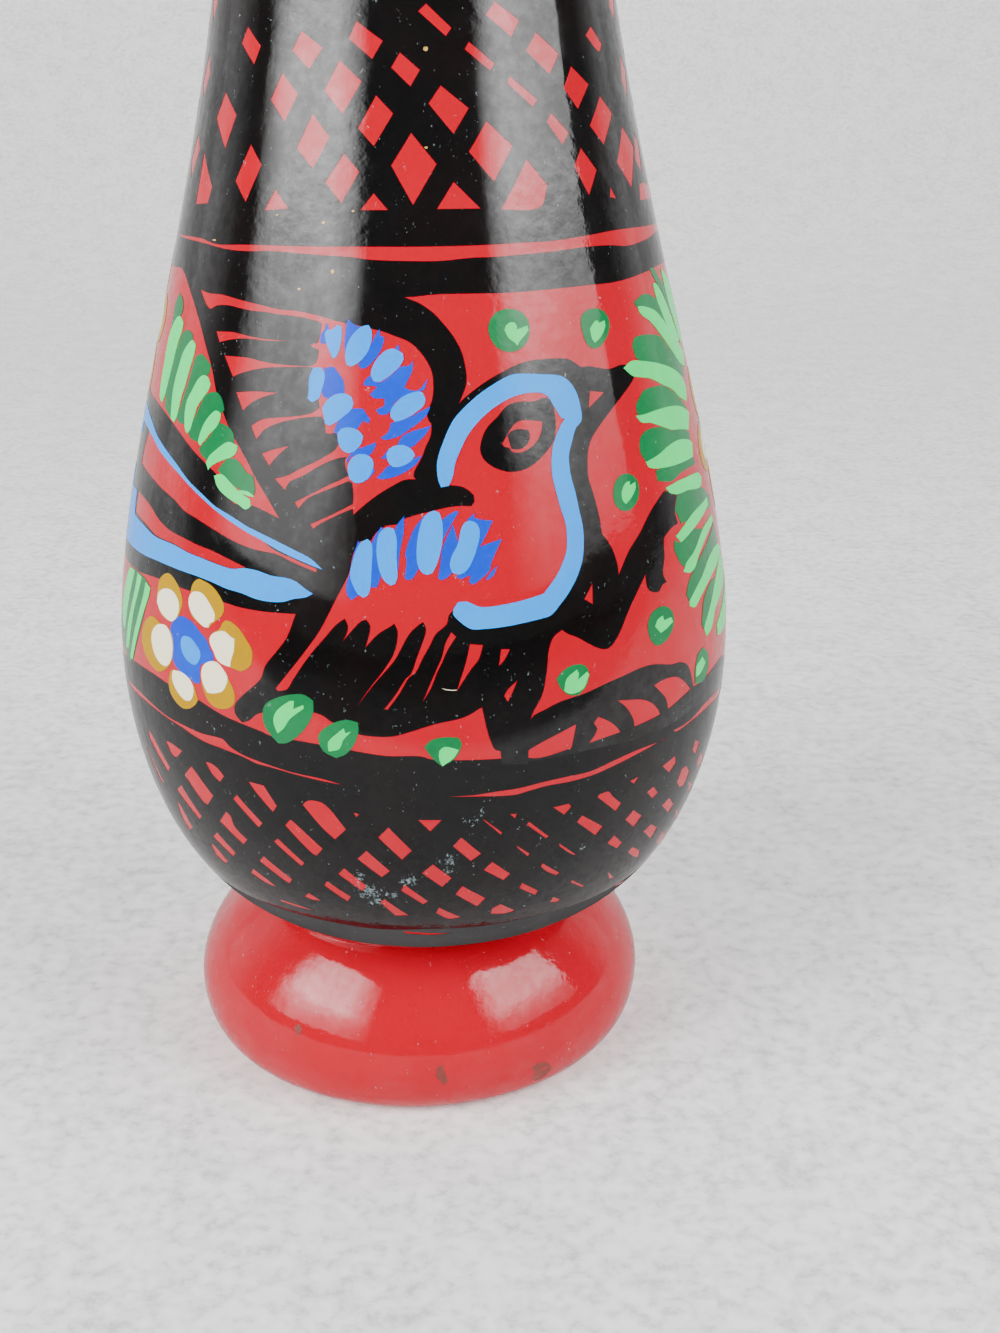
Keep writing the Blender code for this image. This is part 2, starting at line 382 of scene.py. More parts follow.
def wrap(shape, name, lift, material, cell):
    """Thickens the flat skin, wraps it round the vase and makes it a piece."""
    cut_cells(shape, cell)
    bmesh.ops.recalc_face_normals(shape, faces=shape.faces)
    risen = bmesh.ops.extrude_face_region(shape, geom=shape.faces[:])["geom"]
    tops = {v for v in risen if isinstance(v, bmesh.types.BMVert)}
    seams = (SEAM * DEGREE, (SEAM - 360) * DEGREE)
    walls = [f for f in shape.faces
             if any(all(abs(v.co.x - x) < SEAM_TOLERANCE for v in f.verts) for x in seams)]
    bmesh.ops.delete(shape, geom=walls, context="FACES_ONLY")
    flat = np.array([(v.co.x / DEGREE, v.co.y, lift if v in tops else -PAINT_ROOT) for v in shape.verts])
    for corner, place in zip(shape.verts, on_vase(*flat.T)):
        corner.co = place
    bmesh.ops.remove_doubles(shape, verts=shape.verts, dist=MERGE)
    bmesh.ops.recalc_face_normals(shape, faces=shape.faces)
    piece = finish_piece(shape, name, material)
    follow_the_wall(piece.data)
    return piece


def follow_the_wall(mesh):
    """Gives a painted skin the wall's own smooth normals, so that reflections run on over it."""
    places = np.empty(len(mesh.vertices) * 3)
    mesh.vertices.foreach_get("co", places)
    places = places.reshape(-1, 3) / MM
    distance = np.interp(places[:, 2], *HEIGHT_TO_ALONG)
    _, _, lean_out, lean_up = wall_at(distance)
    angle = np.arctan2(places[:, 0], -places[:, 1])
    wall = np.stack([lean_out * np.sin(angle), -lean_out * np.cos(angle), lean_up], 1)
    corners = np.empty(len(mesh.loops), dtype=np.int32)
    mesh.loops.foreach_get("vertex_index", corners)
    sides = np.empty(len(mesh.polygons), dtype=np.int32)
    mesh.polygons.foreach_get("loop_total", sides)
    faces = np.empty(len(mesh.polygons) * 3)
    mesh.polygons.foreach_get("normal", faces)
    faces = np.repeat(faces.reshape(-1, 3), sides, axis=0)
    facing = (faces * wall[corners]).sum(1)[:, None]
    normals = np.where(facing > FLUSH, wall[corners], faces)
    normals = np.where(facing < -FLUSH, -wall[corners], normals)
    mesh.normals_split_custom_set(normals)


def finish_piece(shape, name, material):
    """Makes an object of the shape, on the vase's one body."""
    mesh = bpy.data.meshes.new(name)
    shape.to_mesh(mesh)
    shape.free()
    mesh.shade_smooth()
    mesh.set_sharp_from_angle(angle=SHARP_EDGE)
    mesh.materials.append(material)
    piece = bpy.data.objects.new(name, mesh)
    bpy.context.scene.collection.objects.link(piece)
    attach(piece, "root")
    mesh.calc_loop_triangles()
    print(name, len(mesh.polygons), "faces,", len(mesh.loop_triangles), "triangles")
    return piece


def paint(name, patches, lift, material, copies=(0.0,), cell=CELL):
    """Paints patches, each an outline or (outline, holes), at each of the turns round the vase."""
    shape = bmesh.new()
    for patch in patches:
        outline, holes = patch if isinstance(patch, tuple) else (patch, ())
        for turn in copies:
            moved = [[second_hand(place, turn) for place in ring] for ring in (outline, *holes)]
            fill_patch(shape, moved[0], moved[1:])
    return wrap(shape, name, lift, material, cell)


HAND_SWAY = (2.4, 1.6)        # degrees and millimetres by which a second hand may differ
SWAY_PACE = (0.045, 0.04)     # how soon that changes, per degree and per millimetre
HAND_SEED = 5
noise.seed_set(HAND_SEED)     # unseeded, noise_vector starts from the clock and differs each run


def second_hand(place, turn):
    """The same motif painted again further round, not quite alike."""
    angle, distance = place
    if not turn:
        return place
    swayed = noise.noise_vector((angle * SWAY_PACE[0], distance * SWAY_PACE[1], turn))
    return angle + turn + HAND_SWAY[0] * swayed.x, distance + HAND_SWAY[1] * swayed.y


BOTH_SIDES = (0.0, 180.0)

# %% [markdown]
# The finishes. Enamel and brush paint are the same glossy stuff in different colours: a base
# colour that the brush left a little uneven, a smooth varnish with faint ripples, and dust
# specks and rubbed places. Each of the three is a node group, so that every paint can share it.
# They read Object coordinates, which are metres on the vase, so the scale of a pattern is in
# turns of its noise per metre.

# %% Shared node groups
def new_group(name, inputs, outputs):
    group = bpy.data.node_groups.new(name, "ShaderNodeTree")
    for title, kind, value in inputs:
        socket = group.interface.new_socket(title, in_out="INPUT", socket_type=kind)
        socket.default_value = value
    for title, kind in outputs:
        group.interface.new_socket(title, in_out="OUTPUT", socket_type=kind)
    entry = group.nodes.new("NodeGroupInput")
    leave = group.nodes.new("NodeGroupOutput")
    return group, entry, leave


def add(tree, kind, **settings):
    node = tree.nodes.new(kind)
    for title, value in settings.items():
        setattr(node, title, value)
    return node


def link(tree, source, target):
    tree.links.new(source, target)


def weighted_sum(tree, *parts):
    """Adds up (value, weight) pairs."""
    total = None
    for value, weight in parts:
        part = calculate(tree, "MULTIPLY", value, weight)
        total = part if total is None else calculate(tree, "ADD", total, part)
    return total


def noise_at(tree, scale, detail=2.0, roughness=0.5, stretch=(1, 1, 1)):
    """A noise pattern in metres on the vase, stretched along an axis if asked."""
    spot = add(tree, "ShaderNodeTexCoord")
    place = add(tree, "ShaderNodeMapping")
    place.inputs["Scale"].default_value = stretch
    cloud = add(tree, "ShaderNodeTexNoise")
    cloud.inputs["Scale"].default_value = scale
    cloud.inputs["Detail"].default_value = detail
    cloud.inputs["Roughness"].default_value = roughness
    link(tree, spot.outputs["Object"], place.inputs["Vector"])
    link(tree, place.outputs["Vector"], cloud.inputs["Vector"])
    return cloud.outputs["Fac"]


def remap(tree, value, low, high, to_low=0.0, to_high=1.0):
    node = add(tree, "ShaderNodeMapRange")
    node.inputs["From Min"].default_value = low
    node.inputs["From Max"].default_value = high
    node.inputs["To Min"].default_value = to_low
    node.inputs["To Max"].default_value = to_high
    link(tree, value, node.inputs["Value"])
    return node.outputs["Result"]


def calculate(tree, operation, first, second):
    node = add(tree, "ShaderNodeMath", operation=operation)
    for socket, value in zip(node.inputs, (first, second)):
        if isinstance(value, (int, float)):
            socket.default_value = value
        else:
            link(tree, value, socket)
    return node.outputs[0]


def blend_colour(tree, share, first, second):
    node = add(tree, "ShaderNodeMix", data_type="RGBA")
    sockets = (node.inputs["Factor"], node.inputs["A"], node.inputs["B"])
    for socket, value in zip(sockets, (share, first, second)):
        if isinstance(value, (int, float)):
            socket.default_value = value
        elif isinstance(value, tuple):
            socket.default_value = (*value, 1)
        else:
            link(tree, value, socket)
    return node.outputs["Result"]


def brushed_paint_group():
    """Colour that a loaded brush left thicker and thinner."""
    group, entry, leave = new_group(
        "brushed_paint",
        [("Colour", "NodeSocketColor", (1, 1, 1, 1)), ("Thin Colour", "NodeSocketColor", (1, 1, 1, 1)),
         ("Unevenness", "NodeSocketFloat", 0.3)],
        [("Colour", "NodeSocketColor")],
    )
    broad = noise_at(group, scale=60)
    fine = noise_at(group, scale=700, roughness=0.6)
    load = remap(group, weighted_sum(group, (broad, 0.7), (fine, 0.3)), low=0.42, high=0.72)
    thin = calculate(group, "MULTIPLY", load, entry.outputs["Unevenness"])
    colour = blend_colour(group, thin, entry.outputs["Colour"], entry.outputs["Thin Colour"])
    link(group, colour, leave.inputs["Colour"])
    return group


def varnish_group():
    """Gloss: slow ripples, upright brush streaks, rough places, thick and thin clouds."""
    group, entry, leave = new_group(
        "varnish",
        [("Gloss Roughness", "NodeSocketFloat", 0.07)],
        [("Roughness", "NodeSocketFloat"), ("Height", "NodeSocketFloat"), ("Coat", "NodeSocketFloat")],
    )
    ripple = noise_at(group, scale=55, detail=1, roughness=0.4, stretch=(1, 1, 0.35))
    streak = noise_at(group, scale=340, stretch=(1, 1, 0.07))
    rough_places = remap(group, noise_at(group, scale=34), low=0.42, high=0.64, to_low=0.08)
    fine_grain = noise_at(group, scale=260, detail=3, roughness=0.55)
    grain = calculate(group, "MULTIPLY", fine_grain, rough_places)
    height = calculate(group, "ADD", weighted_sum(group, (ripple, 1.0), (streak, 0.16)), grain)
    link(group, height, leave.inputs["Height"])
    patches = noise_at(group, scale=190, detail=4, roughness=0.6)
    patchy = remap(group, patches, low=0.4, high=0.7, to_high=0.08)
    rough = calculate(group, "ADD", patchy, entry.outputs["Gloss Roughness"])
    link(group, rough, leave.inputs["Roughness"])
    broad_cloud = noise_at(group, scale=95, detail=5, roughness=0.65)
    fine_cloud = noise_at(group, scale=620, detail=3, roughness=0.6)
    cloud = weighted_sum(group, (broad_cloud, 0.6), (fine_cloud, 0.4))
    link(group, remap(group, cloud, low=0.44, high=0.63, to_high=0.45), leave.inputs["Coat"])
    return group


# photo pixel across and down, and the scuff's radius in millimetres
SCUFF_PLACES = [
    (368, 892, 4.2), (360, 879, 2.4), (376, 903, 2.8), (408, 880, 2.2), (393, 896, 1.8),
    (450, 860, 2.4), (447, 872, 1.6), (474, 819, 2.0), (481, 814, 1.6), (583, 848, 1.4),
]
SCUFF_COLOUR, SPECK_COLOUR = (0.3, 0.4, 0.42), (0.36, 0.36, 0.34)


def near_places(tree, places):
    """1 at the middle of the rubbed places, falling to 0 at their radius."""
    spot = add(tree, "ShaderNodeTexCoord").outputs["Object"]
    total = None
    for pixel_x, pixel_y, radius in places:
        angle, distance = seen_at(pixel_x, pixel_y)
        gap = add(tree, "ShaderNodeVectorMath", operation="DISTANCE")
        gap.inputs[1].default_value = on_vase(angle, distance, 0.0)
        link(tree, spot, gap.inputs[0])
        share = remap(tree, gap.outputs["Value"], low=radius * MM, high=0.0)
        total = share if total is None else calculate(tree, "MAXIMUM", total, share)
    return total


def wear_group():
    """Dust specks stuck in the varnish, and pale scuffs where the lower belly was rubbed."""
    group, entry, leave = new_group(
        "dust_and_scuffs",
        [("Colour", "NodeSocketColor", (1, 1, 1, 1)), ("Roughness", "NodeSocketFloat", 0.1),
         ("Dust", "NodeSocketFloat", 0.6)],
        [("Colour", "NodeSocketColor"), ("Roughness", "NodeSocketFloat")],
    )
    specks = add(group, "ShaderNodeTexVoronoi")
    specks.inputs["Scale"].default_value = 820
    link(group, add(group, "ShaderNodeTexCoord").outputs["Object"], specks.inputs["Vector"])
    channels = add(group, "ShaderNodeSeparateXYZ")
    link(group, specks.outputs["Color"], channels.inputs["Vector"])
    size = remap(group, channels.outputs["Y"], low=0.0, high=1.0, to_low=0.03, to_high=0.11)
    inside = calculate(group, "SUBTRACT", size, specks.outputs["Distance"])
    dot = remap(group, inside, low=0.0, high=0.05)
    some = remap(group, channels.outputs["X"], low=0.93, high=1.0)
    cloud = remap(group, noise_at(group, scale=42), low=0.46, high=0.62, to_low=0.1)
    dust = calculate(group, "MULTIPLY", calculate(group, "MULTIPLY", dot, some), cloud)
    dust = calculate(group, "MULTIPLY", dust, entry.outputs["Dust"])
    long_streaks = noise_at(group, scale=640, detail=5, roughness=0.8, stretch=(1, 1, 0.5))
    streaks = calculate(group, "MULTIPLY", long_streaks, noise_at(group, scale=1500, roughness=0.7))
    near = near_places(group, SCUFF_PLACES)
    held_back = remap(group, near, low=0.0, high=1.0, to_low=0.14, to_high=-0.06)
    scuff = remap(group, calculate(group, "SUBTRACT", streaks, held_back), low=0.24, high=0.36)
    colour = blend_colour(group, dust, entry.outputs["Colour"], SPECK_COLOUR)
    colour = blend_colour(group, calculate(group, "MULTIPLY", scuff, 0.7), colour, SCUFF_COLOUR)
    link(group, colour, leave.inputs["Colour"])
    scuffed = calculate(group, "MULTIPLY", scuff, 0.4)
    rough = calculate(group, "ADD", entry.outputs["Roughness"], scuffed)
    link(group, rough, leave.inputs["Roughness"])
    return group


brushed_paint = brushed_paint_group()
varnish = varnish_group()
wear = wear_group()
print("node groups:", [g.name for g in bpy.data.node_groups])

# %% [markdown]
# Each enamel material places the groups with its own colours. The Principled shader stays in
# the material: a dielectric with the gloss of a varnish. On the red and the black it lies under
# a second coat in thin clouds, which makes the reflections mottled, as on the real vase. The
# brush colours are thicker and have no such clouds. Two more blacks serve the foot of the
# belly: one with less gloss, and a dull one along the crease, which is painted shade: it mirrors nothing,
# so the crease reads dark.

# %% Enamels and clay
RIPPLE_HEIGHT, CLAY_GRAIN_HEIGHT = 0.00013, 0.0002
BLACK, THIN_BLACK = (0.003, 0.003, 0.003), (0.011, 0.004, 0.004)


def enamel(name, colour, thin_colour, unevenness, gloss=0.05, dust=0.3, shine=0.42, cloudy=True):
    """Varnished colour. gloss is its roughness, and shine how strongly it mirrors."""
    material = bpy.data.materials.new(name)
    material.use_nodes = True
    tree = material.node_tree
    shader = tree.nodes["Principled BSDF"]
    shader.inputs["IOR"].default_value = 1.47
    shader.inputs["Specular IOR Level"].default_value = shine
    shader.inputs["Coat Roughness"].default_value = gloss
    paint_node = add(tree, "ShaderNodeGroup", node_tree=brushed_paint)
    paint_node.inputs["Colour"].default_value = (*colour, 1)
    paint_node.inputs["Thin Colour"].default_value = (*thin_colour, 1)
    paint_node.inputs["Unevenness"].default_value = unevenness
    varnish_node = add(tree, "ShaderNodeGroup", node_tree=varnish)
    varnish_node.inputs["Gloss Roughness"].default_value = gloss
    bump = add(tree, "ShaderNodeBump")
    bump.inputs["Strength"].default_value = 1.0
    bump.inputs["Distance"].default_value = RIPPLE_HEIGHT
    wear_node = add(tree, "ShaderNodeGroup", node_tree=wear)
    wear_node.inputs["Dust"].default_value = dust
    link(tree, paint_node.outputs["Colour"], wear_node.inputs["Colour"])
    link(tree, varnish_node.outputs["Roughness"], wear_node.inputs["Roughness"])
    link(tree, wear_node.outputs["Colour"], shader.inputs["Base Color"])
    link(tree, wear_node.outputs["Roughness"], shader.inputs["Roughness"])
    if cloudy:
        link(tree, varnish_node.outputs["Coat"], shader.inputs["Coat Weight"])
    link(tree, varnish_node.outputs["Height"], bump.inputs["Height"])
    link(tree, bump.outputs["Normal"], shader.inputs["Normal"])
    return material


def clay(name, colour, dark_colour):
    """Bare fired clay: matt, with a sandy grain and darker patches."""
    material = bpy.data.materials.new(name)
    material.use_nodes = True
    tree = material.node_tree
    shader = tree.nodes["Principled BSDF"]
    patches = remap(tree, noise_at(tree, scale=90, detail=4, roughness=0.6), low=0.35, high=0.7)
    grain = noise_at(tree, scale=2600, roughness=0.7)
    link(tree, blend_colour(tree, patches, colour, dark_colour), shader.inputs["Base Color"])
    matt = remap(tree, grain, low=0.3, high=0.7, to_low=0.78, to_high=0.95)
    link(tree, matt, shader.inputs["Roughness"])
    bump = add(tree, "ShaderNodeBump")
    bump.inputs["Distance"].default_value = CLAY_GRAIN_HEIGHT
    link(tree, grain, bump.inputs["Height"])
    link(tree, bump.outputs["Normal"], shader.inputs["Normal"])
    return material


def brush_paint(name, colour, thin_colour, unevenness, shine):
    return enamel(name, colour, thin_colour, unevenness, shine=shine, cloudy=False)


red_enamel = enamel("red_enamel", (0.5, 0.0001, 0.013), (0.58, 0.002, 0.02), 0.4)
black_enamel = enamel("black_enamel", BLACK, THIN_BLACK, 0.5, dust=0.7, shine=0.46)
black_low = enamel("black_enamel_low", BLACK, THIN_BLACK, 0.5, dust=0.7, shine=0.38, cloudy=False)
# Painted shade for the crease: a black with no shine, so that the crease mirrors nothing and reads dark.
crease_shade_black = enamel(
    "black_enamel_crease_shade", (0.06, 0.061, 0.062), (0.04, 0.039, 0.039), 0.8,
    gloss=0.3, shine=0.0, cloudy=False,
)
chip_brown = enamel("chip_brown", (0.15, 0.03, 0.02), (0.34, 0.05, 0.04), 0.9, gloss=0.45)
stray_ochre = enamel("stray_ochre", (0.62, 0.4, 0.1), (0.4, 0.22, 0.05), 0.9, gloss=0.25)
deep_blue = brush_paint("deep_blue_paint", (0.0001, 0.045, 0.62), (0.0003, 0.09, 0.75), 0.5, 0.2)
light_blue = brush_paint("light_blue_paint", (0.0001, 0.32, 0.98), (0.0005, 0.22, 0.92), 0.5, 0.2)
deep_green = brush_paint("deep_green_paint", (0.003, 0.155, 0.045), (0.008, 0.24, 0.07), 0.6, 0.3)
light_green = brush_paint("light_green_paint", (0.006, 0.84, 0.17), (0.006, 0.66, 0.12), 0.5, 0.25)
yellow = brush_paint("yellow_paint", (0.46, 0.26, 0.0001), (0.4, 0.2, 0.0001), 0.6, 0.06)
cream = brush_paint("cream_paint", (0.98, 0.94, 0.68), (0.96, 0.87, 0.5), 0.4, 0.3)
terracotta = clay("terracotta", (0.42, 0.16, 0.075), (0.3, 0.1, 0.05))
pale_slip = clay("pale_slip", (0.55, 0.33, 0.2), (0.42, 0.24, 0.15))

# %% [markdown]
# The potter's sections. Each CAD node is replaced by the same section turned finer: its outside
# is taken in by half a millimetre to leave room for the enamel, and its inside carries the faint
# rings that the fingers leave on a wheel. bmesh spins each outline round the axis.

# %% Clay sections
TURNS, SPIN_MERGE = 144, 0.000001
CLAY_INSET = 0.5
RING_HEIGHT, RING_DEPTH, RING_WANDER, WANDER_PACE = 4.2, 0.16, 0.6, 0.11
CURVE_STEPS, WALL_STEP = 400, 1.5


def spun(outline, closed=True, shift=None, turns=TURNS):
    """A solid of revolution from (radius, height) points in millimetres."""
    shape = bmesh.new()
    corners = [shape.verts.new((radius * MM, 0, height * MM)) for radius, height in outline]
    edges = [shape.edges.new(pair) for pair in zip(corners, corners[1:])]
    if closed:
        edges.append(shape.edges.new((corners[-1], corners[0])))
    bmesh.ops.spin(
        shape, geom=corners + edges, cent=(0, 0, 0), axis=(0, 0, 1), dvec=(0, 0, 0),
        angle=math.tau, steps=turns, use_merge=True, use_duplicate=False,
    )
    bmesh.ops.remove_doubles(shape, verts=shape.verts, dist=SPIN_MERGE)
    bmesh.ops.recalc_face_normals(shape, faces=shape.faces)
    if shift:
        for corner in shape.verts:
            corner.co.x += shift(corner.co.z / MM) * MM
    return shape


def share_at(points, height):
    """How far along a curve it reaches a height, from 0 to 1."""
    shares = np.array(steps(CURVE_STEPS))
    heights = [bezier(points, t)[1] for t in shares]
    return float(np.interp(height, heights, shares))


def wall_path(inset, low, high):
    """The body's wall between two heights, a point every millimetre and a half."""
    count = max(2, round((high - low) / WALL_STEP))
    path = []
    for t in steps(count):
        height = low + (high - low) * t
        points = body_curve(inset) if height <= WAIST_HEIGHT else flare_curve(inset)
        path.append((bezier(points, share_at(points, height))[0], height))
    return path


def finger_rings(path):
    """Thickens the wall inwards in soft rings, which wander a little in height."""
    ringed = []
    for radius, height in path:
        wave = math.sin(math.tau * height / RING_HEIGHT + RING_WANDER * math.sin(height * WANDER_PACE))
        ringed.append((radius - RING_DEPTH * (1 + wave) / 2, height))
    return ringed


def set_in(path, depth):
    """Moves an outside path inwards along its normals."""
    points = np.array(path)
    lean = np.gradient(points, axis=0)
    lean /= np.hypot(*lean.T)[:, None]
    return [(float(r - depth * rise), float(z + depth * run))
            for (r, z), (run, rise) in zip(points, lean)]


def clay_piece(node, outline, material, closed=True, shift=None):
    shape = spun(outline, closed, shift)
    piece = finish_piece(shape, node + "_clay", material)
    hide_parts(node)
    return piece


def clay_wall(node, low, high, material):
    path = wall_path(0, low, high)
    outer = [(r, z) for (r, _), (_, z) in zip(set_in(path, CLAY_INSET), path)]
    inner = finger_rings(wall_path(WALL, low, high))
    return clay_piece(node, outer + inner[::-1], material)


NECK_LUTE, LIP_LUTE = 157.0, 250.0
FOOT_CLAY_INSET, LOWER_POINTS = 0.8, 40
FOOT_TOP_OUTER, FOOT_TOP_INNER = 28.6, 22.0
FOOT_INNER_RADIUS, FOOT_INNER_HEIGHT = 33.0, 14.0
foot_side = set_in(foot_curve(30), FOOT_CLAY_INSET)[6::2]
foot_outline = [(FOOT_RADIUS - FOOT_EDGE - FOOT_CLAY_INSET, 0.0)]
foot_outline += [(r, z) for r, z in foot_side if z < FOOT_HEIGHT]
foot_outline += [(FOOT_TOP_OUTER, FOOT_HEIGHT), (FOOT_TOP_INNER, FOOT_HEIGHT)]
foot_outline += [(FOOT_INNER_RADIUS, FOOT_INNER_HEIGHT), (FOOT_INNER_RADIUS, 0.0)]
clay_piece("foot_ring", foot_outline, terracotta, shift=lambda z: FOOT_SHIFT)
SLIP_OUTER, SLIP_INNER, BOWL_BASE_RADIUS = 28.5, 24.4, 28.4
slip_outline = [(SLIP_OUTER, FOOT_HEIGHT), (SLIP_OUTER, BASE_HEIGHT)]
slip_outline += [(SLIP_INNER, BASE_HEIGHT), (SLIP_INNER, FOOT_HEIGHT)]
clay_piece("foot_slip", slip_outline, pale_slip)
bowl_outline = [(0, BASE_HEIGHT), (BOWL_BASE_RADIUS, BASE_HEIGHT)]
bowl_outline += set_in(bowl_curve(BASE_HEIGHT, BELLY_RADIUS, LOWER_POINTS), FOOT_CLAY_INSET)[1:-1]
bowl_outline += [(BELLY_RADIUS - CLAY_INSET, BELLY_HEIGHT)]
bowl_inner = bowl_curve(BASE_HEIGHT + FLOOR, BELLY_RADIUS - WALL, LOWER_POINTS)
bowl_outline += finger_rings(bowl_inner)[::-1] + [(0, BASE_HEIGHT + FLOOR)]
clay_piece("lower_bowl", bowl_outline, terracotta, closed=False)
clay_wall("belly_slip", BELLY_HEIGHT, BELLY_HEIGHT + SLIP, pale_slip)
clay_wall("upper_bowl", BELLY_HEIGHT + SLIP, NECK_LUTE, terracotta)
clay_wall("neck_slip", NECK_LUTE, NECK_LUTE + SLIP, pale_slip)
clay_wall("neck_tube", NECK_LUTE + SLIP, LIP_LUTE, terracotta)
clay_wall("lip_slip", LIP_LUTE, LIP_LUTE + SLIP, pale_slip)
lip_low = LIP_LUTE + SLIP
LIP_ROLL_START, LIP_ROLL_TURN = -35, 165      # degrees
COAT_ROOM = 0.4                               # how far the lip's inside stands back for the enamel
lip_outer = wall_path(0, lip_low, flare_curve()[-1][1])
lip_outer += [roll_point(LIP_ROLL_START + LIP_ROLL_TURN * t) for t in steps(14)]
lip_outer = [(lip_outer[0][0] - CLAY_INSET, lip_low)] + set_in(lip_outer, CLAY_INSET)[1:]
lip_inner = wall_path(WALL, lip_low, flare_curve(WALL)[-1][1] - 1.0)[::-1]
lip_inner = [(r + COAT_ROOM, z) for r, z in lip_inner]
clay_piece("lip_ring", lip_outer + lip_inner, terracotta)

# %% [markdown]
# The red enamel covers everything that shows, from the foot's lower edge over the rim and a
# little way into the mouth. It is one closed skin a quarter of a millimetre thick: the outside
# curve and the same curve a little deeper, joined at both ends and spun round.

# %% Red enamel
COAT_THICKNESS, COAT_TURNS = 0.25, 216
COAT_START, COAT_ROWS, COAT_FOOT = 0.3, 190, 0.06     # the enamel ends just above the floor


def curve_at_depth(distances, depth):
    path = []
    for distance in distances:
        radius, height, lean_out, lean_up = wall_at(distance)
        height = float(height - depth * lean_up)
        path.append((float(radius - depth * lean_out), max(height, COAT_FOOT)))
    return path


coat_rows = np.linspace(COAT_START, along[-1], COAT_ROWS)
coat_path = curve_at_depth(coat_rows, COAT_INSET)
coat_path += curve_at_depth(coat_rows[::-1][::3], COAT_INSET + COAT_THICKNESS)
coat = spun(coat_path, shift=shift_at, turns=COAT_TURNS)
finish_piece(coat, "red_enamel_coat", red_enamel)

# %% [markdown]
# Two black bands go all the way round, so their outlines are lines seen in front and carried on
# round the hidden side, where they meet at a seam. The seam is put between two columns of
# windows, and its walls are taken out so that the ring closes. A hand holds a brush against the
# turning vase here, so the hidden part of each line wavers a little.

# %% Lines all the way round
bands = close_up(160, 230, 5.0)
right_bands = close_up(400, 190, 5.714)
low_left = close_up(100, 640, 4.9)
low_right = close_up(420, 640, 4.9)
low_middle = close_up(400, 740, 4.727)


HIDDEN_STEP, CLEAR_OF_SEEN = 8, 7     # degrees
WAVER = 0.5                           # millimetres up and down, three times round the vase


def all_round(seen, height):
    """Carries a line seen in front round the back at a height, to meet itself."""
    level = up_the_wall(height)
    first, last = seen[0][0] - CLEAR_OF_SEEN, seen[-1][0] + CLEAR_OF_SEEN
    hidden = [a for a in range(-176, 176, HIDDEN_STEP) if not first < a < last]
    ends = [SEAM - 360, SEAM]
    back = [(a, level + WAVER * math.sin(math.radians(3 * a))) for a in ends + hidden]
    return sorted(seen + back)


def ring(lower, upper):
    return lower + upper[::-1]


red_line_top = bands(
    (85, 0), (200, 40), (280, 70), (420, 72), (600, 78), (800, 82), (1000, 82), (1300, 82),
)
red_line_top += right_bands(
    (300, 319), (540, 310), (700, 300), (870, 290), (1055, 262), (1250, 225), (1470, 180),
)
red_line_foot = bands(
    (80, 10), (200, 60), (330, 95), (420, 105), (560, 105), (800, 125), (950, 135), (1050, 148),
)
red_line_foot += right_bands(
    (0, 405), (230, 405), (400, 388), (530, 382), (700, 368), (860, 352), (1060, 325), (1200, 315),
    (1300, 318), (1400, 285), (1470, 235),
)
band_foot = photo(
    (172, 265), (181, 268), (240, 285), (320, 294), (404, 297), (440, 294), (480, 293.2), (500, 293),
    (585, 285.3), (612, 282.4), (629, 278.2), (644, 272.6), (658, 265.6), (664.5, 261.4),
)
panel_foot = low_left(
    (110, 60), (160, 100), (250, 160), (330, 215), (470, 290), (600, 370), (690, 410), (790, 450),
    (830, 470), (940, 490), (1080, 515), (1240, 545), (1400, 570), (1568, 572),
)
panel_foot += low_right(
    (60, 588), (400, 583), (480, 575), (580, 580), (740, 540), (830, 507), (900, 485), (985, 455),
    (1055, 425), (1175, 368), (1215, 342), (1330, 240), (1380, 205), (1420, 160), (1480, 80),
)
SLEEVE_TOP, LINE_TOP, LINE_FOOT, BAND_FOOT, PANEL_FOOT = 259.0, 158.4, 156.2, 151.6, 79.0
sleeve_foot = all_round(red_line_top, LINE_TOP)
sleeve_top = all_round(by_height((-4, SLEEVE_TOP), (4, SLEEVE_TOP)), SLEEVE_TOP)
band_ring = ring(all_round(band_foot, BAND_FOOT), all_round(red_line_foot, LINE_FOOT))
BLACK_OVERLAP = 1.2                   # how far the black runs on past the crease
CREASE = up_the_wall(CREASE_TOP + 0.1) - BLACK_OVERLAP
crease_line = [(a, CREASE) for a in [SEAM - 360] + list(range(-180, 176, 12)) + [SEAM]]
print("neck sleeve from", round(red_line_top[0][1], 1), "mm up the wall")

# %% [markdown]
# The neck and the foot of the belly carry a lattice: slanting black strokes cross and leave
# small red windows. Windows are holes in one black sleeve here, which gives the same look with
# far fewer pieces than crossing strokes. The windows in front follow the photo. Those above the
# photo and behind come from a rule that repeats the same spacing and size, with a small sway.

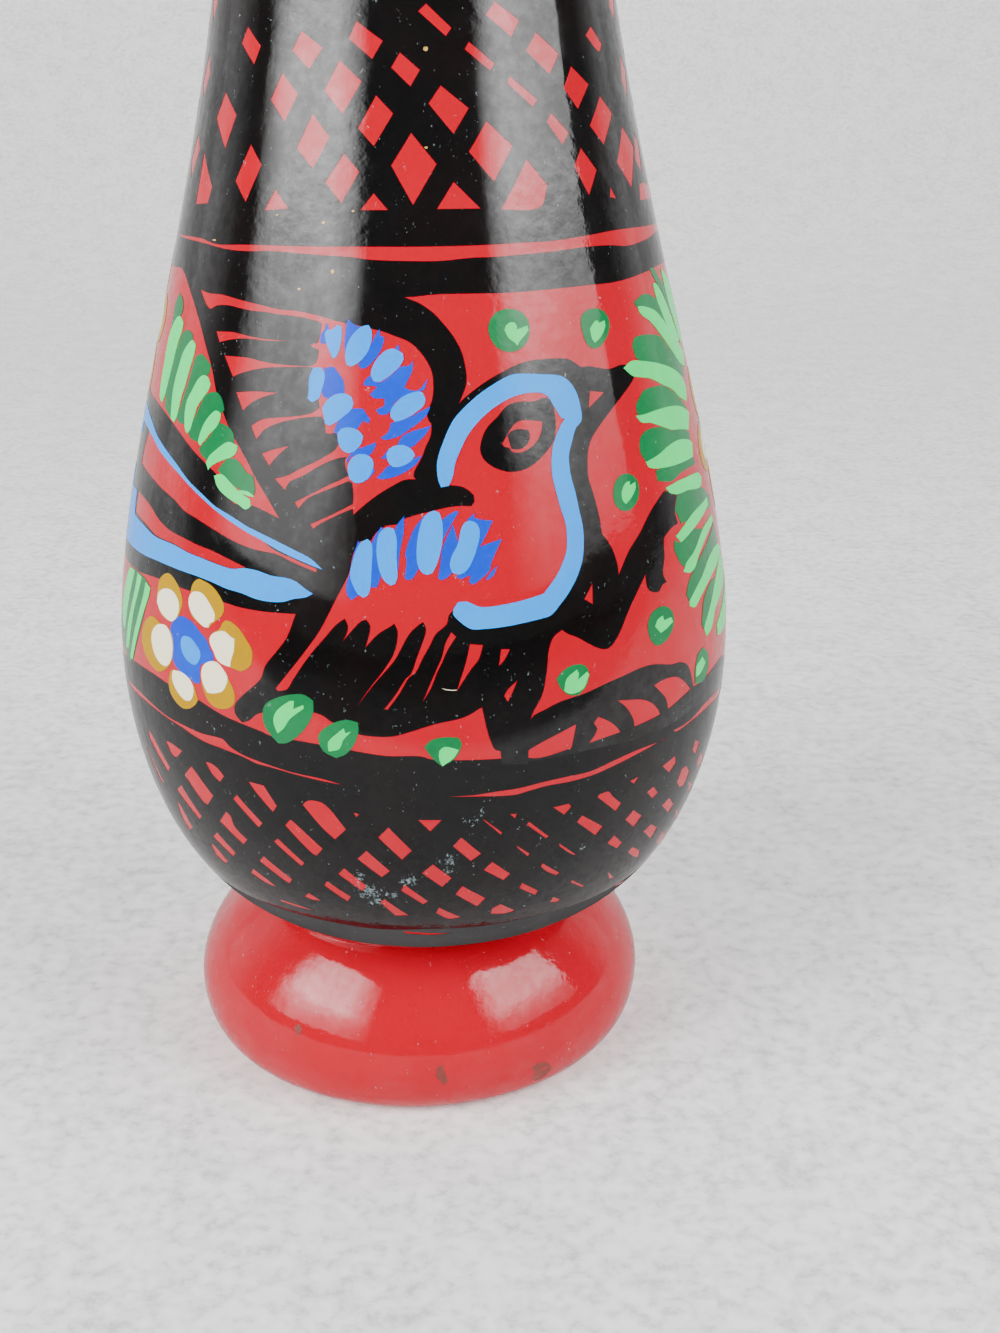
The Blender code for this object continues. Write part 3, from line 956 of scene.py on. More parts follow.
# %% Windows of the neck
neck_windows = each(
    photo,
    [(247.4, 26.3), (260.4, 45.9), (253.5, 64.3), (241.2, 42.9)],
    [(300.9, 30.6), (322.4, 47.5), (308.6, 68.9), (291.7, 50.5)],
    [(356, 20.7), (382.8, 40.6), (372.1, 58.9), (348.4, 38.3)],
    [(399.7, 52), (420, 69.6), (410.4, 86.5), (390.9, 67.3)],
    [(339.2, 59.7), (361.4, 81.1), (342.3, 114), (323.9, 90.3)],
    [(281.8, 72.7), (297.6, 93.4), (284.1, 121.7), (270.3, 99.5)],
    [(225.2, 91.8), (235.9, 114.8), (224.4, 148.5), (216, 117.9)],
    [(312.4, 113.3), (329.2, 137), (312.4, 168.4), (296.3, 147.7)],
    [(375.9, 94.9), (393.2, 113.3), (373.6, 146.2), (357.6, 127.8)],
    [(411.1, 132.4), (436.8, 163.8), (413, 205), (390.9, 165.3)],
    [(343.8, 153.1), (359.1, 171.4), (341, 203), (324.6, 182.2)],
    [(250.4, 143.9), (261.1, 164.5), (245, 202), (234.8, 180.6)],
    [(426.1, 3.1), (451.7, 27.6), (446, 36), (418, 11)],
    [(495, 1), (519.5, 19.9), (511.8, 36.7), (485.8, 14.5)],
    [(469, 41.3), (495.3, 63.5), (490.4, 70.4), (464.7, 49)],
    [(536.3, 32.1), (559.3, 53.6), (550.1, 74.2), (526.1, 50.5)],
    [(510.3, 75.8), (537.9, 99.5), (533.3, 106.7), (507.2, 82.7)],
    [(571.5, 65.8), (589.1, 84.2), (578.4, 109), (563.9, 88)],
    [(440.7, 85), (469, 107.9), (453.7, 133.9), (428.4, 103.3)],
    [(551.6, 112.5), (569.2, 132.4), (563.1, 144.6), (547, 121.7)],
    [(600.6, 95.7), (612.6, 113.3), (604.4, 144.6), (590.4, 125.5)],
    [(486.6, 120.9), (513.1, 145.4), (494.2, 181.4), (469, 151.5)],
    [(591.4, 26), (602.5, 44.4), (599.4, 51.3), (586.1, 35.2)],
    [(581.5, 147.7), (597.3, 169.9), (589.6, 195.2), (574.6, 166.1)],
    [(622.8, 126.3), (634.3, 146.9), (632.3, 187.5), (617.5, 162.3)],
    [(203.7, 151.5), (211.4, 186.7), (207, 203), (195, 204)],
    [(274.9, 189), (288, 208.5), (264, 210)],
    [(373.6, 192.9), (388, 210), (360, 210)],
    [(453.7, 181.4), (481, 208.4), (436.8, 208.9)],
    [(527, 159), (548, 185), (541, 206.6), (501.5, 209.5)],
    [(611, 187), (617, 198.4), (610.5, 197)],
    [(640.6, 184), (651, 186), (653.8, 197), (640.6, 200)],
)
FRONT_EDGE, FRONT_TOP = 66.0, 194.5   # the photo shows the neck this far round and up
NECK_START, NECK_ROWS, NECK_ROW, NECK_COLUMN = 170.0, 14, 6.1, 9.0
NECK_HALF_TURN, NECK_HALF_HEIGHT, NECK_SEAM = 3.6, 3.3, 4.5
DIAMOND = [(0.0, 1.0), (1.0, 0.27), (-0.07, -1.0), (-1.0, -0.3)]
SWAY_TURN, SWAY_RISE = 0.9, 1.0       # degrees and millimetres that a corner may stray


def sway(angle, height, amount):
    """A small repeatable shift, so that no two painted windows are quite alike."""
    return amount * noise.noise(Vector((angle * 0.37, height * 0.61, 5.3)))


def diamond(angle, height, half_turn, half_height):
    """A slanting window: its top leans left and its right corner stands high."""
    corners = []
    for x, y in DIAMOND:
        turned = angle + x * half_turn + sway(angle + 7 * x, height, SWAY_TURN)
        raised = height + y * half_height + sway(height + 7 * y, angle, SWAY_RISE)
        corners.append((turned, raised))
    return by_height(*corners)


for row in range(NECK_ROWS):
    height = NECK_START + row * NECK_ROW
    for column in range(-10, 10):
        angle = (2 * column + row % 2) * NECK_COLUMN
        if angle < SEAM - 360 + NECK_SEAM or angle > SEAM - NECK_SEAM:
            continue
        if height > FRONT_TOP or abs(angle) >= FRONT_EDGE:
            neck_windows.append(diamond(angle, height, NECK_HALF_TURN, NECK_HALF_HEIGHT))
sleeve = ring(sleeve_foot, sleeve_top)
paint("black_neck_lattice", [(sleeve, neck_windows)], BLACK_LIFT, black_enamel,
      cell=NECK_CELL)
paint("black_band", [band_ring], BLACK_LIFT, black_enamel)

# %% [markdown]
# The foot of the belly is black down to the crease, with the same lattice. A thin red line runs
# above it where two black strokes almost met, and short red slivers below it. A band of dull
# black follows the crease as painted shade: it has no shine, so the crease reads dark.

# %% Windows of the belly
thin_line_left = low_left(
    (110, 100), (125, 170), (180, 240), (250, 310), (320, 370), (400, 415), (500, 460), (600, 487),
    (630, 520), (690, 560), (760, 590), (850, 622), (960, 655), (1080, 680), (1190, 712), (1080, 692),
    (850, 630), (760, 605), (700, 575), (600, 535), (510, 500), (450, 465), (400, 430), (330, 385),
    (270, 340), (210, 290), (150, 230), (110, 160),
)
thin_line_right = low_middle(
    (215, 270), (350, 262), (460, 245), (560, 230), (680, 200), (790, 175), (900, 150), (1010, 100),
    (1120, 50), (1245, 0),
)
thin_line_right += low_right((1215, 472))
thin_line_right += low_middle(
    (1110, 75), (1010, 125), (920, 165), (820, 195), (700, 218), (620, 240), (540, 262), (380, 269),
)
thin_line_edge = low_right(
    (1245, 445), (1330, 390), (1400, 310), (1470, 230), (1485, 200), (1470, 260), (1420, 320),
    (1340, 392), (1260, 449),
)
crease_streaks = [
    photo((404, 931.8), (430, 933.6), (455, 933.4), (430, 935.4), (404, 933.8)),
    photo((613.7, 886.2), (634, 875), (646, 866), (634, 877), (613.7, 887.8)),
]
belly_windows = [thin_line_left, thin_line_right, thin_line_edge]
belly_windows += each(
    photo,
    [(148, 729.8), (152, 735.9), (169.4, 767.6), (167.3, 771.6), (149, 738)],
    [(165.3, 741), (170.4, 743.1), (181.6, 751.2), (175.5, 757.3), (171.4, 754.3)],
    [(145.6, 746.5), (148.2, 751), (163.5, 782.5), (161.8, 783)],
    [(176.5, 801), (180.2, 806), (192, 827.5), (189.6, 830.5), (182.5, 819)],
    [(210.4, 844), (214, 846), (227.6, 861.6), (224.4, 863.6), (216, 855.5)],
    [(190.8, 766.5), (193.9, 770.6), (212.7, 796.1), (207.1, 805.3), (202, 801.2), (184.1, 774.7)],
    [(205.1, 762), (210.2, 763.5), (217.3, 768.6), (223.5, 776.7), (219.4, 782.2), (211.2, 773.7)],
    [(180.6, 785.3), (201, 816.5), (199, 819.6), (176.5, 790)],
    [(248, 781.8), (263.3, 785.9), (276.5, 806.3), (272.4, 812.4), (255.1, 792)],
    [(236.3, 795.1), (262.2, 823.7), (258.2, 827.8), (232.7, 799.2)],
    [(225.5, 812), (229.6, 815.5), (234.7, 827.8), (246.9, 840), (242.9, 844.7), (219.4, 821.6)],
    [(216.7, 832.9), (235.3, 853.3), (232.7, 856.7), (212.7, 836.9)],
    [(308.2, 800.6), (324.5, 804.9), (345.9, 829.8), (334.7, 840), (322.4, 828.8), (302.4, 805.3)],
    [(289.8, 820), (294.9, 823.7), (322.4, 849.2), (316.3, 856.3), (312.2, 854.3), (284.7, 825.7)],
    [(277.6, 839), (304.1, 863.5), (301, 866.5), (273.5, 842)],
    [(263.3, 856.7), (291.8, 879.8), (288.8, 884.3), (259.2, 861.4)],
    [(252.8, 869.2), (262.1, 876.4), (276.4, 887.3), (266.2, 883.6), (250.8, 873.3)],
    [(353.1, 813.1), (359.2, 814.5), (356.1, 817.6)],
    [(388.2, 827.8), (411.8, 851.2), (402, 860.4), (378, 838)],
    [(366.3, 851.2), (389.8, 871.6), (381.6, 877.8), (357.1, 859.4)],
    [(344.1, 868.8), (366.7, 886.7), (361.5, 891.4), (337.9, 874.4)],
    [(326.7, 881.5), (350.7, 897.5), (347.2, 902), (324, 886)],
    [(308.2, 893.4), (320.5, 901), (312.3, 900.4), (304.7, 896.9)],
    [(404.2, 884.9), (428.1, 901.8), (423.3, 905), (401, 891.2)],
    [(384.1, 899.6), (408.7, 916), (395.4, 916.4), (380, 903)],
    [(418, 820.4), (441.9, 820.4), (430.3, 832)],
    [(461.3, 837.9), (481.4, 854.2), (470.9, 861.6), (452.9, 846.8)],
    [(432.8, 864.8), (451.8, 878.6), (442.3, 887.7), (421.8, 873.7)],
    [(492.4, 862.3), (510.4, 874.3), (503.7, 880.7), (483.6, 870.5)],
    [(462.4, 886.6), (485.7, 898.7), (477.2, 907.1), (455.4, 894.9)],
    [(439.1, 908.2), (460.7, 917.7), (448.7, 919.4), (436, 913.5)],
    [(500.5, 904.6), (515.3, 910.9), (505.8, 913.9), (491, 914.5), (492, 909.2)],
    [(522.3, 883.4), (538.6, 891.3), (535.4, 895.5), (519.5, 888.7)],
    [(542.8, 863.8), (559.7, 873.3), (556.5, 875.8), (546, 871.2), (541.3, 866.9)],
    [(553.4, 897.6), (560.4, 899.7), (557.6, 902.5), (550.2, 902.9)],
    [(572.4, 880.7), (584, 886), (583, 887.7), (570.9, 882.8)],
    [(482.5, 818.7), (502.6, 833.1), (501.1, 835.2), (484.6, 821.4)],
    [(516.4, 845.8), (530.1, 854.2), (528, 856.8), (518.5, 848.9)],
    [(510, 814.5), (517.4, 814), (515.3, 818.7)],
    [(529.5, 822.1), (549.1, 836.9), (546.4, 838.8), (526.9, 825)],
    [(559.7, 843.7), (576.6, 855.3), (573.5, 855.3), (559.7, 846.4)],
    [(553.4, 807.7), (569.2, 803.9), (571.8, 807.3), (564.6, 815.1)],
    [(582.4, 815.7), (603.1, 826.7), (595.7, 835.6), (577.3, 822.5)],
    [(599.9, 794.6), (609.4, 791.8), (612.6, 796.1), (621.7, 803.5), (616.2, 811.5), (597.8, 797.5)],
    [(630.6, 781.3), (639.1, 777), (634.8, 784)],
    [(633.8, 810.4), (642.2, 816.2), (633.8, 827.4), (625.9, 820)],
    [(614.7, 835.8), (622.5, 843.2), (617.5, 848.9), (607.7, 843.7)],
    [(632.7, 847.3), (640.1, 852.1), (638, 857.8), (633.8, 856.8), (628.5, 852.5)],
    [(653.9, 787), (658.5, 792.9), (652.8, 798.8), (647.5, 792.5)],
    [(651.7, 824.6), (657.7, 827.8), (651.1, 839), (643.9, 832)],
    [(676.1, 755.9), (676.1, 763.3), (669.7, 772.8), (663, 766.4)],
    [(686.6, 766.4), (689.8, 771.7), (684.5, 785.5), (680.3, 787), (677.5, 782.3), (682.4, 769.6)],
    [(669.7, 798.2), (674, 804.5), (668.7, 813), (662.3, 806)],
    [(663.4, 831), (665.5, 839.4), (659.1, 845.8), (656.4, 842.6)],
    [(696.2, 740), (700, 742.1), (696.2, 754.4), (693, 750.6)],
    [(701.5, 751.6), (703.6, 759), (699.3, 767.5), (697.2, 763.3)],
    [(688.8, 781.3), (693, 785.5), (688.8, 792.9)],
    [(676.1, 808.8), (679.2, 814), (675, 820.4)],
    [(608.4, 872.2), (614.1, 878.6), (610, 879)],
    [(280.5, 900.2), (299, 906.2), (315.4, 911.3), (299, 907.8), (280.5, 901.8)],
)
belly_windows += crease_streaks
# height of each hidden row, half a window's turn there, and how far round the photo shows the row
BELLY_ROWS = [
    (71.5, 4.0, 76), (66.0, 4.1, 76), (60.5, 4.3, 76), (55.0, 4.5, 71), (49.5, 4.9, 71), (44.5, 5.4, 71),
]
BELLY_COLUMN, BELLY_SEAM, BELLY_NARROW, BELLY_HALF_HEIGHT = 11.0, 6.5, 0.8, 2.0
for row, (height, half_turn, seen_to) in enumerate(BELLY_ROWS):
    for column in range(-20, 20):
        angle = (column + 0.5 * (row % 2)) * BELLY_COLUMN
        beyond_seam = angle < SEAM - 360 + BELLY_SEAM or angle > SEAM - BELLY_SEAM
        if not beyond_seam and abs(angle) >= seen_to:
            belly_windows.append(diamond(angle, height, half_turn * BELLY_NARROW, BELLY_HALF_HEIGHT))
belly_windows += [
    by_height((86, 76), (110, 77), (140, 76), (170, 76.6), (170, 75.7), (140, 75), (110, 76), (86, 75)),
    by_height((-178, 76), (-150, 77), (-120, 76), (-92, 77), (-92, 76), (-120, 75), (-150, 76),
              (-178, 75)),
]
belly_ring = ring(crease_line, all_round(panel_foot, PANEL_FOOT))
paint("black_belly_lattice", [(belly_ring, belly_windows)], BLACK_LIFT, black_low)
# Painted shade: a band of black with no shine along the crease, so that it reads dark there.
SHADE_BAND_TOP, SHADE_BAND_SWAY, SHADE_BAND_LIFT = 41.8, 0.8, 0.05
shade_band_top = [(a, up_the_wall(SHADE_BAND_TOP) + sway(3 * a, SHADE_BAND_TOP, SHADE_BAND_SWAY)) for a, _ in crease_line]
shade_band_top[-1] = (SEAM, shade_band_top[0][1])
shade_band_ring = ring(crease_line, shade_band_top)
paint("black_crease_shade_band", [(shade_band_ring, crease_streaks)], SHADE_BAND_LIFT, crease_shade_black)

# %% [markdown]
# The bird between the bands: a common folk motif, painted freehand. Its body, wings and tail
# are one black figure, and the red enamel shows through where the brush left it bare, so the
# figure is one outline with holes. The same picture is on the hidden side, turned half round
# and moved a little, as a second one painted by hand would be.

# %% The bird's black figure
leaf = close_up(100, 260, 6.817)
wing = close_up(250, 280, 7.0)
head = close_up(420, 340, 7.127)
spray = close_up(560, 260, 7.127)
legs = close_up(540, 480, 7.84)
body = close_up(220, 580, 6.03)
flower = close_up(110, 560, 8.75)
tail = close_up(100, 420, 6.817)
breast = close_up(320, 480, 6.533)
arch = close_up(460, 620, 5.807)

figure = leaf((545, 20)) + by_height((-68, 154), (-52, 154), (-36, 154), (-18, 154.4))
figure += bands((1225, 250), (1225, 338))
figure += wing(
    (1180, 160), (1270, 220), (1340, 290), (1420, 390), (1480, 500), (1510, 620), (1515, 720),
    (1490, 800), (1462, 868),
)
figure += head(
    (310, 420), (450, 310), (620, 210), (720, 165), (830, 140), (1060, 135), (1150, 190), (1200, 185),
    (1350, 205), (1460, 175),
)
figure += spray(
    (530, 800), (530, 840), (450, 960), (355, 1085), (240, 1250), (205, 1350), (200, 1480), (210, 1568),
)
figure += legs(
    (420, 100), (460, 250), (480, 350), (490, 420), (520, 460), (560, 520), (590, 590), (610, 660),
    (622, 745), (700, 560), (780, 430), (870, 250), (960, 110), (985, 85), (1075, 120), (1060, 230),
    (1085, 340), (1040, 370), (1000, 420), (975, 465), (980, 600), (970, 740), (1000, 800), (965, 820),
    (940, 870), (900, 880), (850, 850), (830, 740), (760, 890), (700, 1020), (640, 1170), (600, 1250),
    (540, 1320), (470, 1320), (380, 1280), (300, 1235), (220, 1205), (175, 1175), (105, 1235),
    (70, 1340), (60, 1450),
)
figure += low_right(
    (620, 170), (600, 270), (545, 385), (530, 610), (400, 610), (400, 583), (395, 545), (370, 540),
    (345, 490), (330, 440), (320, 400), (305, 330), (215, 380),
)
figure += body(
    (1300, 870), (1170, 910), (1040, 945), (920, 945), (830, 930), (700, 870), (660, 850), (620, 820),
    (560, 800), (400, 790), (260, 800), (220, 810), (170, 850), (130, 860), (90, 810), (85, 760),
    (120, 710), (240, 600), (270, 520), (340, 430), (400, 350), (455, 205), (260, 190), (120, 165),
    (25, 135),
)
figure += flower((850, 320), (620, 245), (400, 155), (250, 100), (200, 60), (160, 20))
figure += by_height((-76, 101), (-88, 104), (-96, 108), (-98, 117), (-96, 127), (-88, 132))
figure += leaf((340, 890), (380, 960), (440, 1040), (520, 1150), (600, 1260))
figure += tail(
    (660, 240), (720, 300), (760, 340), (790, 370), (900, 560), (1040, 585), (1130, 625), (1220, 672),
    (1120, 500), (1060, 400), (1010, 300),
)
figure += leaf(
    (950, 1280), (905, 1200), (870, 1130), (830, 1020), (790, 900), (760, 740), (735, 650), (680, 440),
    (630, 270), (580, 110), (555, 55),
)
print("bird outline:", len(figure), "points")

# %% Where the red shows through the bird
wing_red = leaf((680, 200), (740, 225), (830, 235), (950, 270))
wing_red += wing(
    (90, 178), (200, 205), (320, 215), (440, 240), (520, 262), (600, 285), (680, 305), (740, 315),
    (850, 340), (930, 360), (1010, 390), (1110, 430), (1180, 490), (1240, 570), (1275, 650), (1285, 740),
    (1275, 840), (1240, 930), (1250, 980), (1270, 1010), (1265, 1090), (1230, 1170), (1200, 1250),
    (1150, 1340), (1145, 1375), (1160, 1395), (1080, 1400), (1000, 1440), (900, 1500), (820, 1560),
    (760, 1610), (722, 1645), (718, 1602), (650, 1628), (560, 1670), (480, 1712), (440, 1742),
    (418, 1710), (470, 1688), (560, 1648), (640, 1608), (718, 1568), (722, 1500), (712, 1420),
    (690, 1408), (640, 1428), (560, 1460), (460, 1500), (400, 1530), (335, 1600), (310, 1556),
    (400, 1510), (470, 1475), (560, 1430), (640, 1395), (690, 1368), (668, 1320), (662, 1260),
    (672, 1238), (640, 1242), (560, 1265), (460, 1315), (360, 1375), (275, 1412), (242, 1470),
    (170, 1390), (260, 1368), (350, 1320), (450, 1275), (540, 1225), (592, 1190), (618, 1140),
    (600, 1070), (560, 1075), (526, 1072), (524, 1030), (520, 990), (498, 955), (400, 960), (300, 975),
    (200, 1000), (100, 1045), (40, 1115), (5, 1020), (80, 975), (200, 962), (300, 955), (400, 940),
    (450, 920), (485, 890), (470, 800), (450, 700), (445, 618),
)
wing_red += leaf(
    (1440, 730), (1300, 729), (1150, 732), (1050, 746), (960, 770), (902, 795), (845, 650), (1000, 665),
    (1100, 690), (1200, 708), (1320, 719), (1440, 721),
)
wing_red += wing(
    (455, 580), (475, 530), (478, 490), (415, 455), (470, 440), (485, 400), (500, 300), (440, 278),
    (330, 256), (200, 240), (100, 222), (30, 216),
)
wing_red += leaf((960, 330), (870, 308), (790, 310), (742, 330))

breast_red = head(
    (180, 1040), (180, 960), (195, 860), (225, 760), (275, 650), (330, 570), (430, 460), (520, 400),
    (640, 335), (760, 310), (880, 310), (970, 330), (1020, 400), (1060, 480), (1070, 570), (1040, 660),
    (1010, 760), (1003, 840), (1010, 960), (1040, 1090),
)
breast_red += legs(
    (240, 235), (270, 350), (280, 475), (272, 590), (230, 720), (165, 840), (95, 935), (45, 970),
    (0, 1005),
)
breast_red += breast((1400, 845), (1200, 885), (1060, 900), (970, 885), (900, 850))
breast_red += body(
    (1405, 185), (1380, 215), (1370, 265), (1300, 330), (1270, 390), (1220, 480), (1180, 560),
    (1140, 590), (1080, 690), (1010, 785), (990, 780), (1060, 690), (1120, 595), (1150, 570),
    (1190, 460), (1220, 380), (1242, 300), (1225, 255), (1200, 270), (1140, 330), (1090, 420),
    (1050, 490), (990, 560), (920, 640), (820, 772), (900, 655), (975, 560), (1040, 460), (1062, 400),
    (1070, 310), (1050, 265), (1030, 280), (950, 330), (875, 410), (890, 360), (905, 280), (880, 240),
    (850, 250), (800, 300), (735, 375), (760, 330), (770, 280), (750, 235), (700, 270), (630, 350),
    (560, 430), (500, 510), (440, 600), (400, 662), (345, 670), (333, 655), (400, 570), (480, 470),
    (540, 390), (590, 320), (640, 230), (700, 110),
)
breast_red += breast(
    (165, 660), (190, 600), (215, 480), (262, 400), (330, 400), (360, 350), (430, 300), (500, 290),
    (530, 270), (552, 253), (620, 230), (700, 210), (800, 185), (900, 170), (990, 170), (1010, 140),
    (1005, 100), (980, 75), (930, 45), (850, 35),
)

tail_red = tail(
    (335, 60), (365, 130), (400, 200), (460, 280), (530, 360), (600, 440), (700, 540), (790, 620),
    (900, 700), (1000, 765), (1100, 820), (1190, 890), (1290, 935), (1400, 985), (1475, 1015),
    (1470, 1038), (1380, 1000), (1290, 960), (1200, 915), (1060, 885), (960, 850), (860, 800),
    (760, 740), (650, 670), (560, 610), (500, 540), (420, 470), (340, 380), (280, 290), (300, 180),
)
tail_red_low = tail(
    (258, 475), (330, 570), (400, 680), (470, 750), (560, 800), (660, 850), (760, 890), (860, 940),
    (960, 990), (990, 1005), (900, 1012), (800, 982), (700, 942), (600, 902), (500, 845), (400, 800),
    (370, 780), (300, 700), (238, 620),
)
bird_red = [
    wing_red, breast_red, tail_red, tail_red_low,
    leaf((790, 485), (900, 490), (1000, 515), (1100, 535), (1290, 552), (1150, 550), (1000, 535),
         (900, 540), (810, 560)),
    leaf((925, 900), (1050, 895), (1210, 905), (1120, 930), (1040, 965), (970, 1025)),
    wing((80, 1215), (150, 1190), (270, 1160), (190, 1230), (130, 1300)),
    body((1395, 315), (1425, 343), (1370, 430), (1340, 500), (1310, 560), (1275, 650), (1222, 738),
         (1270, 620), (1310, 530), (1340, 460), (1360, 380)),
    low_right((245, 20), (310, 25), (290, 95), (255, 140), (215, 200), (180, 255), (200, 190),
              (225, 110)),
    low_right((398, 45), (443, 45), (415, 100), (387, 130)),
    low_right((480, 197), (450, 270), (432, 305), (413, 275), (430, 245)),
    legs((415, 810), (418, 975), (350, 935)),
    head((1215, 362), (1315, 372), (1205, 485)),
]
BIRD_LIFT = BLACK_LIFT + 0.004
paint("black_bird", [(figure, bird_red)], BIRD_LIFT, black_enamel, BOTH_SIDES)

# %% [markdown]
# The eye is a black almond with a red one inside and a black pupil. A little arch of leaf-like
# loops stands on the lower band, to the right of the bird's foot.

# %% Eye and arch
eye = head(
    (430, 770), (470, 640), (560, 540), (620, 470), (700, 440), (820, 435), (880, 410), (920, 420),
    (955, 480), (970, 620), (955, 720), (900, 800), (820, 880), (740, 925), (640, 940), (560, 920),
    (500, 890), (450, 840),
)
eye_red = head(
    (585, 740), (620, 680), (650, 630), (700, 580), (760, 570), (875, 580), (870, 640), (850, 700),
    (800, 760), (740, 795), (700, 803), (655, 795), (640, 770), (600, 760),
)
pupil = head(
    (625, 680), (650, 650), (700, 635), (775, 640), (785, 700), (750, 760), (700, 780), (655, 775),
    (640, 730),
)
paint("black_eye", [(eye, [eye_red]), pupil], BLACK_LIFT, black_enamel, BOTH_SIDES)

arch_black = arch(
    (415, 575), (500, 520), (600, 470), (720, 430), (850, 370), (940, 330), (1050, 280), (1130, 258),
    (1230, 258), (1290, 245), (1330, 270), (1360, 390), (1400, 370), (1430, 330), (1480, 290),
    (1545, 215), (1545, 330), (1400, 480), (1200, 620), (1000, 700), (800, 745), (600, 790), (330, 830),
)
arch_loops = each(
    arch,
    [(330, 800), (480, 710), (678, 605), (660, 700), (650, 745), (460, 803)],
    [(750, 717), (785, 670), (800, 630), (780, 600), (805, 562), (870, 590), (910, 620), (935, 652),
     (840, 685)],
    [(918, 468), (1060, 463), (1120, 485), (1160, 530), (1165, 555), (1015, 620), (1010, 580), (970, 510)],
    [(1130, 380), (1190, 345), (1260, 330), (1310, 360), (1345, 405), (1212, 520), (1200, 460),
     (1160, 410)],
)
ARCH_LIFT = BLACK_LIFT + 0.008
paint("black_arch", [(arch_black, arch_loops)], ARCH_LIFT, black_enamel, BOTH_SIDES)

# %% [markdown]
# Colour goes on over the black: first a loaded deep stroke, then a light dab on it while the
# brush is still wet. Each group is one piece, and the light dabs lie a little higher.

# %% Deep blue strokes
deep_blue_strokes = each(
    wing,
    [(530, 300), (548, 330), (540, 380), (530, 440), (500, 450), (488, 420), (500, 370), (520, 350)],
    [(685, 270), (710, 300), (760, 325), (790, 330), (740, 400), (690, 470), (668, 540), (660, 470),
     (672, 310)],
    [(905, 340), (912, 390), (940, 400), (930, 450), (900, 520), (860, 570), (810, 615), (770, 618),
     (755, 590), (800, 540), (840, 470), (870, 400)],
    [(1015, 480), (1037, 450), (1050, 495)],
    [(800, 705), (850, 660), (850, 700), (900, 720), (960, 690), (1020, 640), (1060, 605), (1110, 600),
     (1140, 565), (1135, 640), (1110, 690), (1080, 750), (1120, 770), (1180, 770), (1245, 690),
     (1220, 770), (1150, 790), (1080, 810), (1010, 860), (980, 920), (960, 940), (900, 940), (880, 910),
     (940, 880), (940, 830), (860, 825), (838, 800), (890, 745), (840, 740), (792, 738)],
    [(1262, 885), (1240, 940), (1180, 1000), (1110, 1050), (1040, 1095), (940, 1120), (912, 1105),
     (970, 1060), (985, 1000), (1040, 990), (1120, 960), (1200, 915)],
    [(1268, 1018), (1230, 1080), (1180, 1130), (1130, 1170), (1030, 1160), (1060, 1100), (1130, 1060),
     (1200, 1040)],
    [(960, 1190), (940, 1225), (912, 1248), (960, 1252), (965, 1220)],
    [(1205, 1225), (1170, 1280), (1110, 1330), (1020, 1375), (930, 1395), (885, 1385), (930, 1340),
     (970, 1300), (1070, 1300), (1140, 1255)],
    [(520, 615), (590, 610), (610, 640), (650, 700), (660, 760), (660, 795), (590, 800), (540, 830),
     (510, 815), (500, 770), (522, 700)],
    [(700, 905), (790, 900), (815, 940), (840, 975), (830, 1005), (790, 985), (745, 1045), (680, 1035),
     (630, 1050), (605, 1080), (585, 1060), (610, 1000), (660, 950)],
    [(885, 1135), (870, 1180), (830, 1230), (740, 1225), (700, 1240), (680, 1280), (672, 1260),
     (720, 1200), (790, 1170)],
    [(862, 1310), (872, 1340), (830, 1390), (780, 1422), (840, 1370)],
)
deep_blue_strokes += each(
    breast,
    [(250, 395), (215, 500), (190, 620), (170, 690), (180, 760), (205, 785), (240, 760), (285, 700),
     (290, 520)],
    [(400, 305), (350, 380), (335, 450), (335, 700), (370, 705), (390, 650), (420, 500), (430, 360)],
    [(550, 235), (545, 350), (520, 480), (510, 600), (498, 480), (490, 320)],
    [(680, 235), (620, 310), (580, 400), (555, 490), (565, 520), (552, 640), (570, 655), (600, 650),
     (650, 560), (670, 400)],
    [(890, 200), (905, 210), (870, 270), (830, 340), (798, 400), (790, 300), (810, 250)],
    [(870, 290), (830, 370), (800, 450), (785, 560), (770, 640), (790, 655), (830, 640), (875, 580),
     (900, 420)],
    [(960, 260), (1015, 215), (1005, 245), (1060, 260), (1130, 265), (1095, 340), (1045, 440), (1100, 415),
     (1190, 385), (1150, 470), (1120, 540), (1110, 590), (1050, 650), (1000, 685), (975, 670), (985, 620),
     (920, 650), (890, 630), (960, 560), (1010, 430), (1030, 320)],
    [(1160, 560), (1130, 630), (1085, 655), (1090, 640), (1120, 600)],
)
deep_blue_strokes += each(
    flower,
    [(600, 490), (650, 500), (720, 550), (790, 640), (840, 700), (870, 780), (900, 830), (900, 880),
     (870, 900), (800, 910), (780, 960), (785, 1075), (740, 1080), (700, 1040), (640, 1000), (580, 940),
     (545, 860), (550, 780), (545, 700), (525, 620), (535, 560)],
)
DEEP_BLUE_LIFT = 0.064
paint("deep_blue_strokes", deep_blue_strokes, DEEP_BLUE_LIFT, deep_blue,
      BOTH_SIDES)

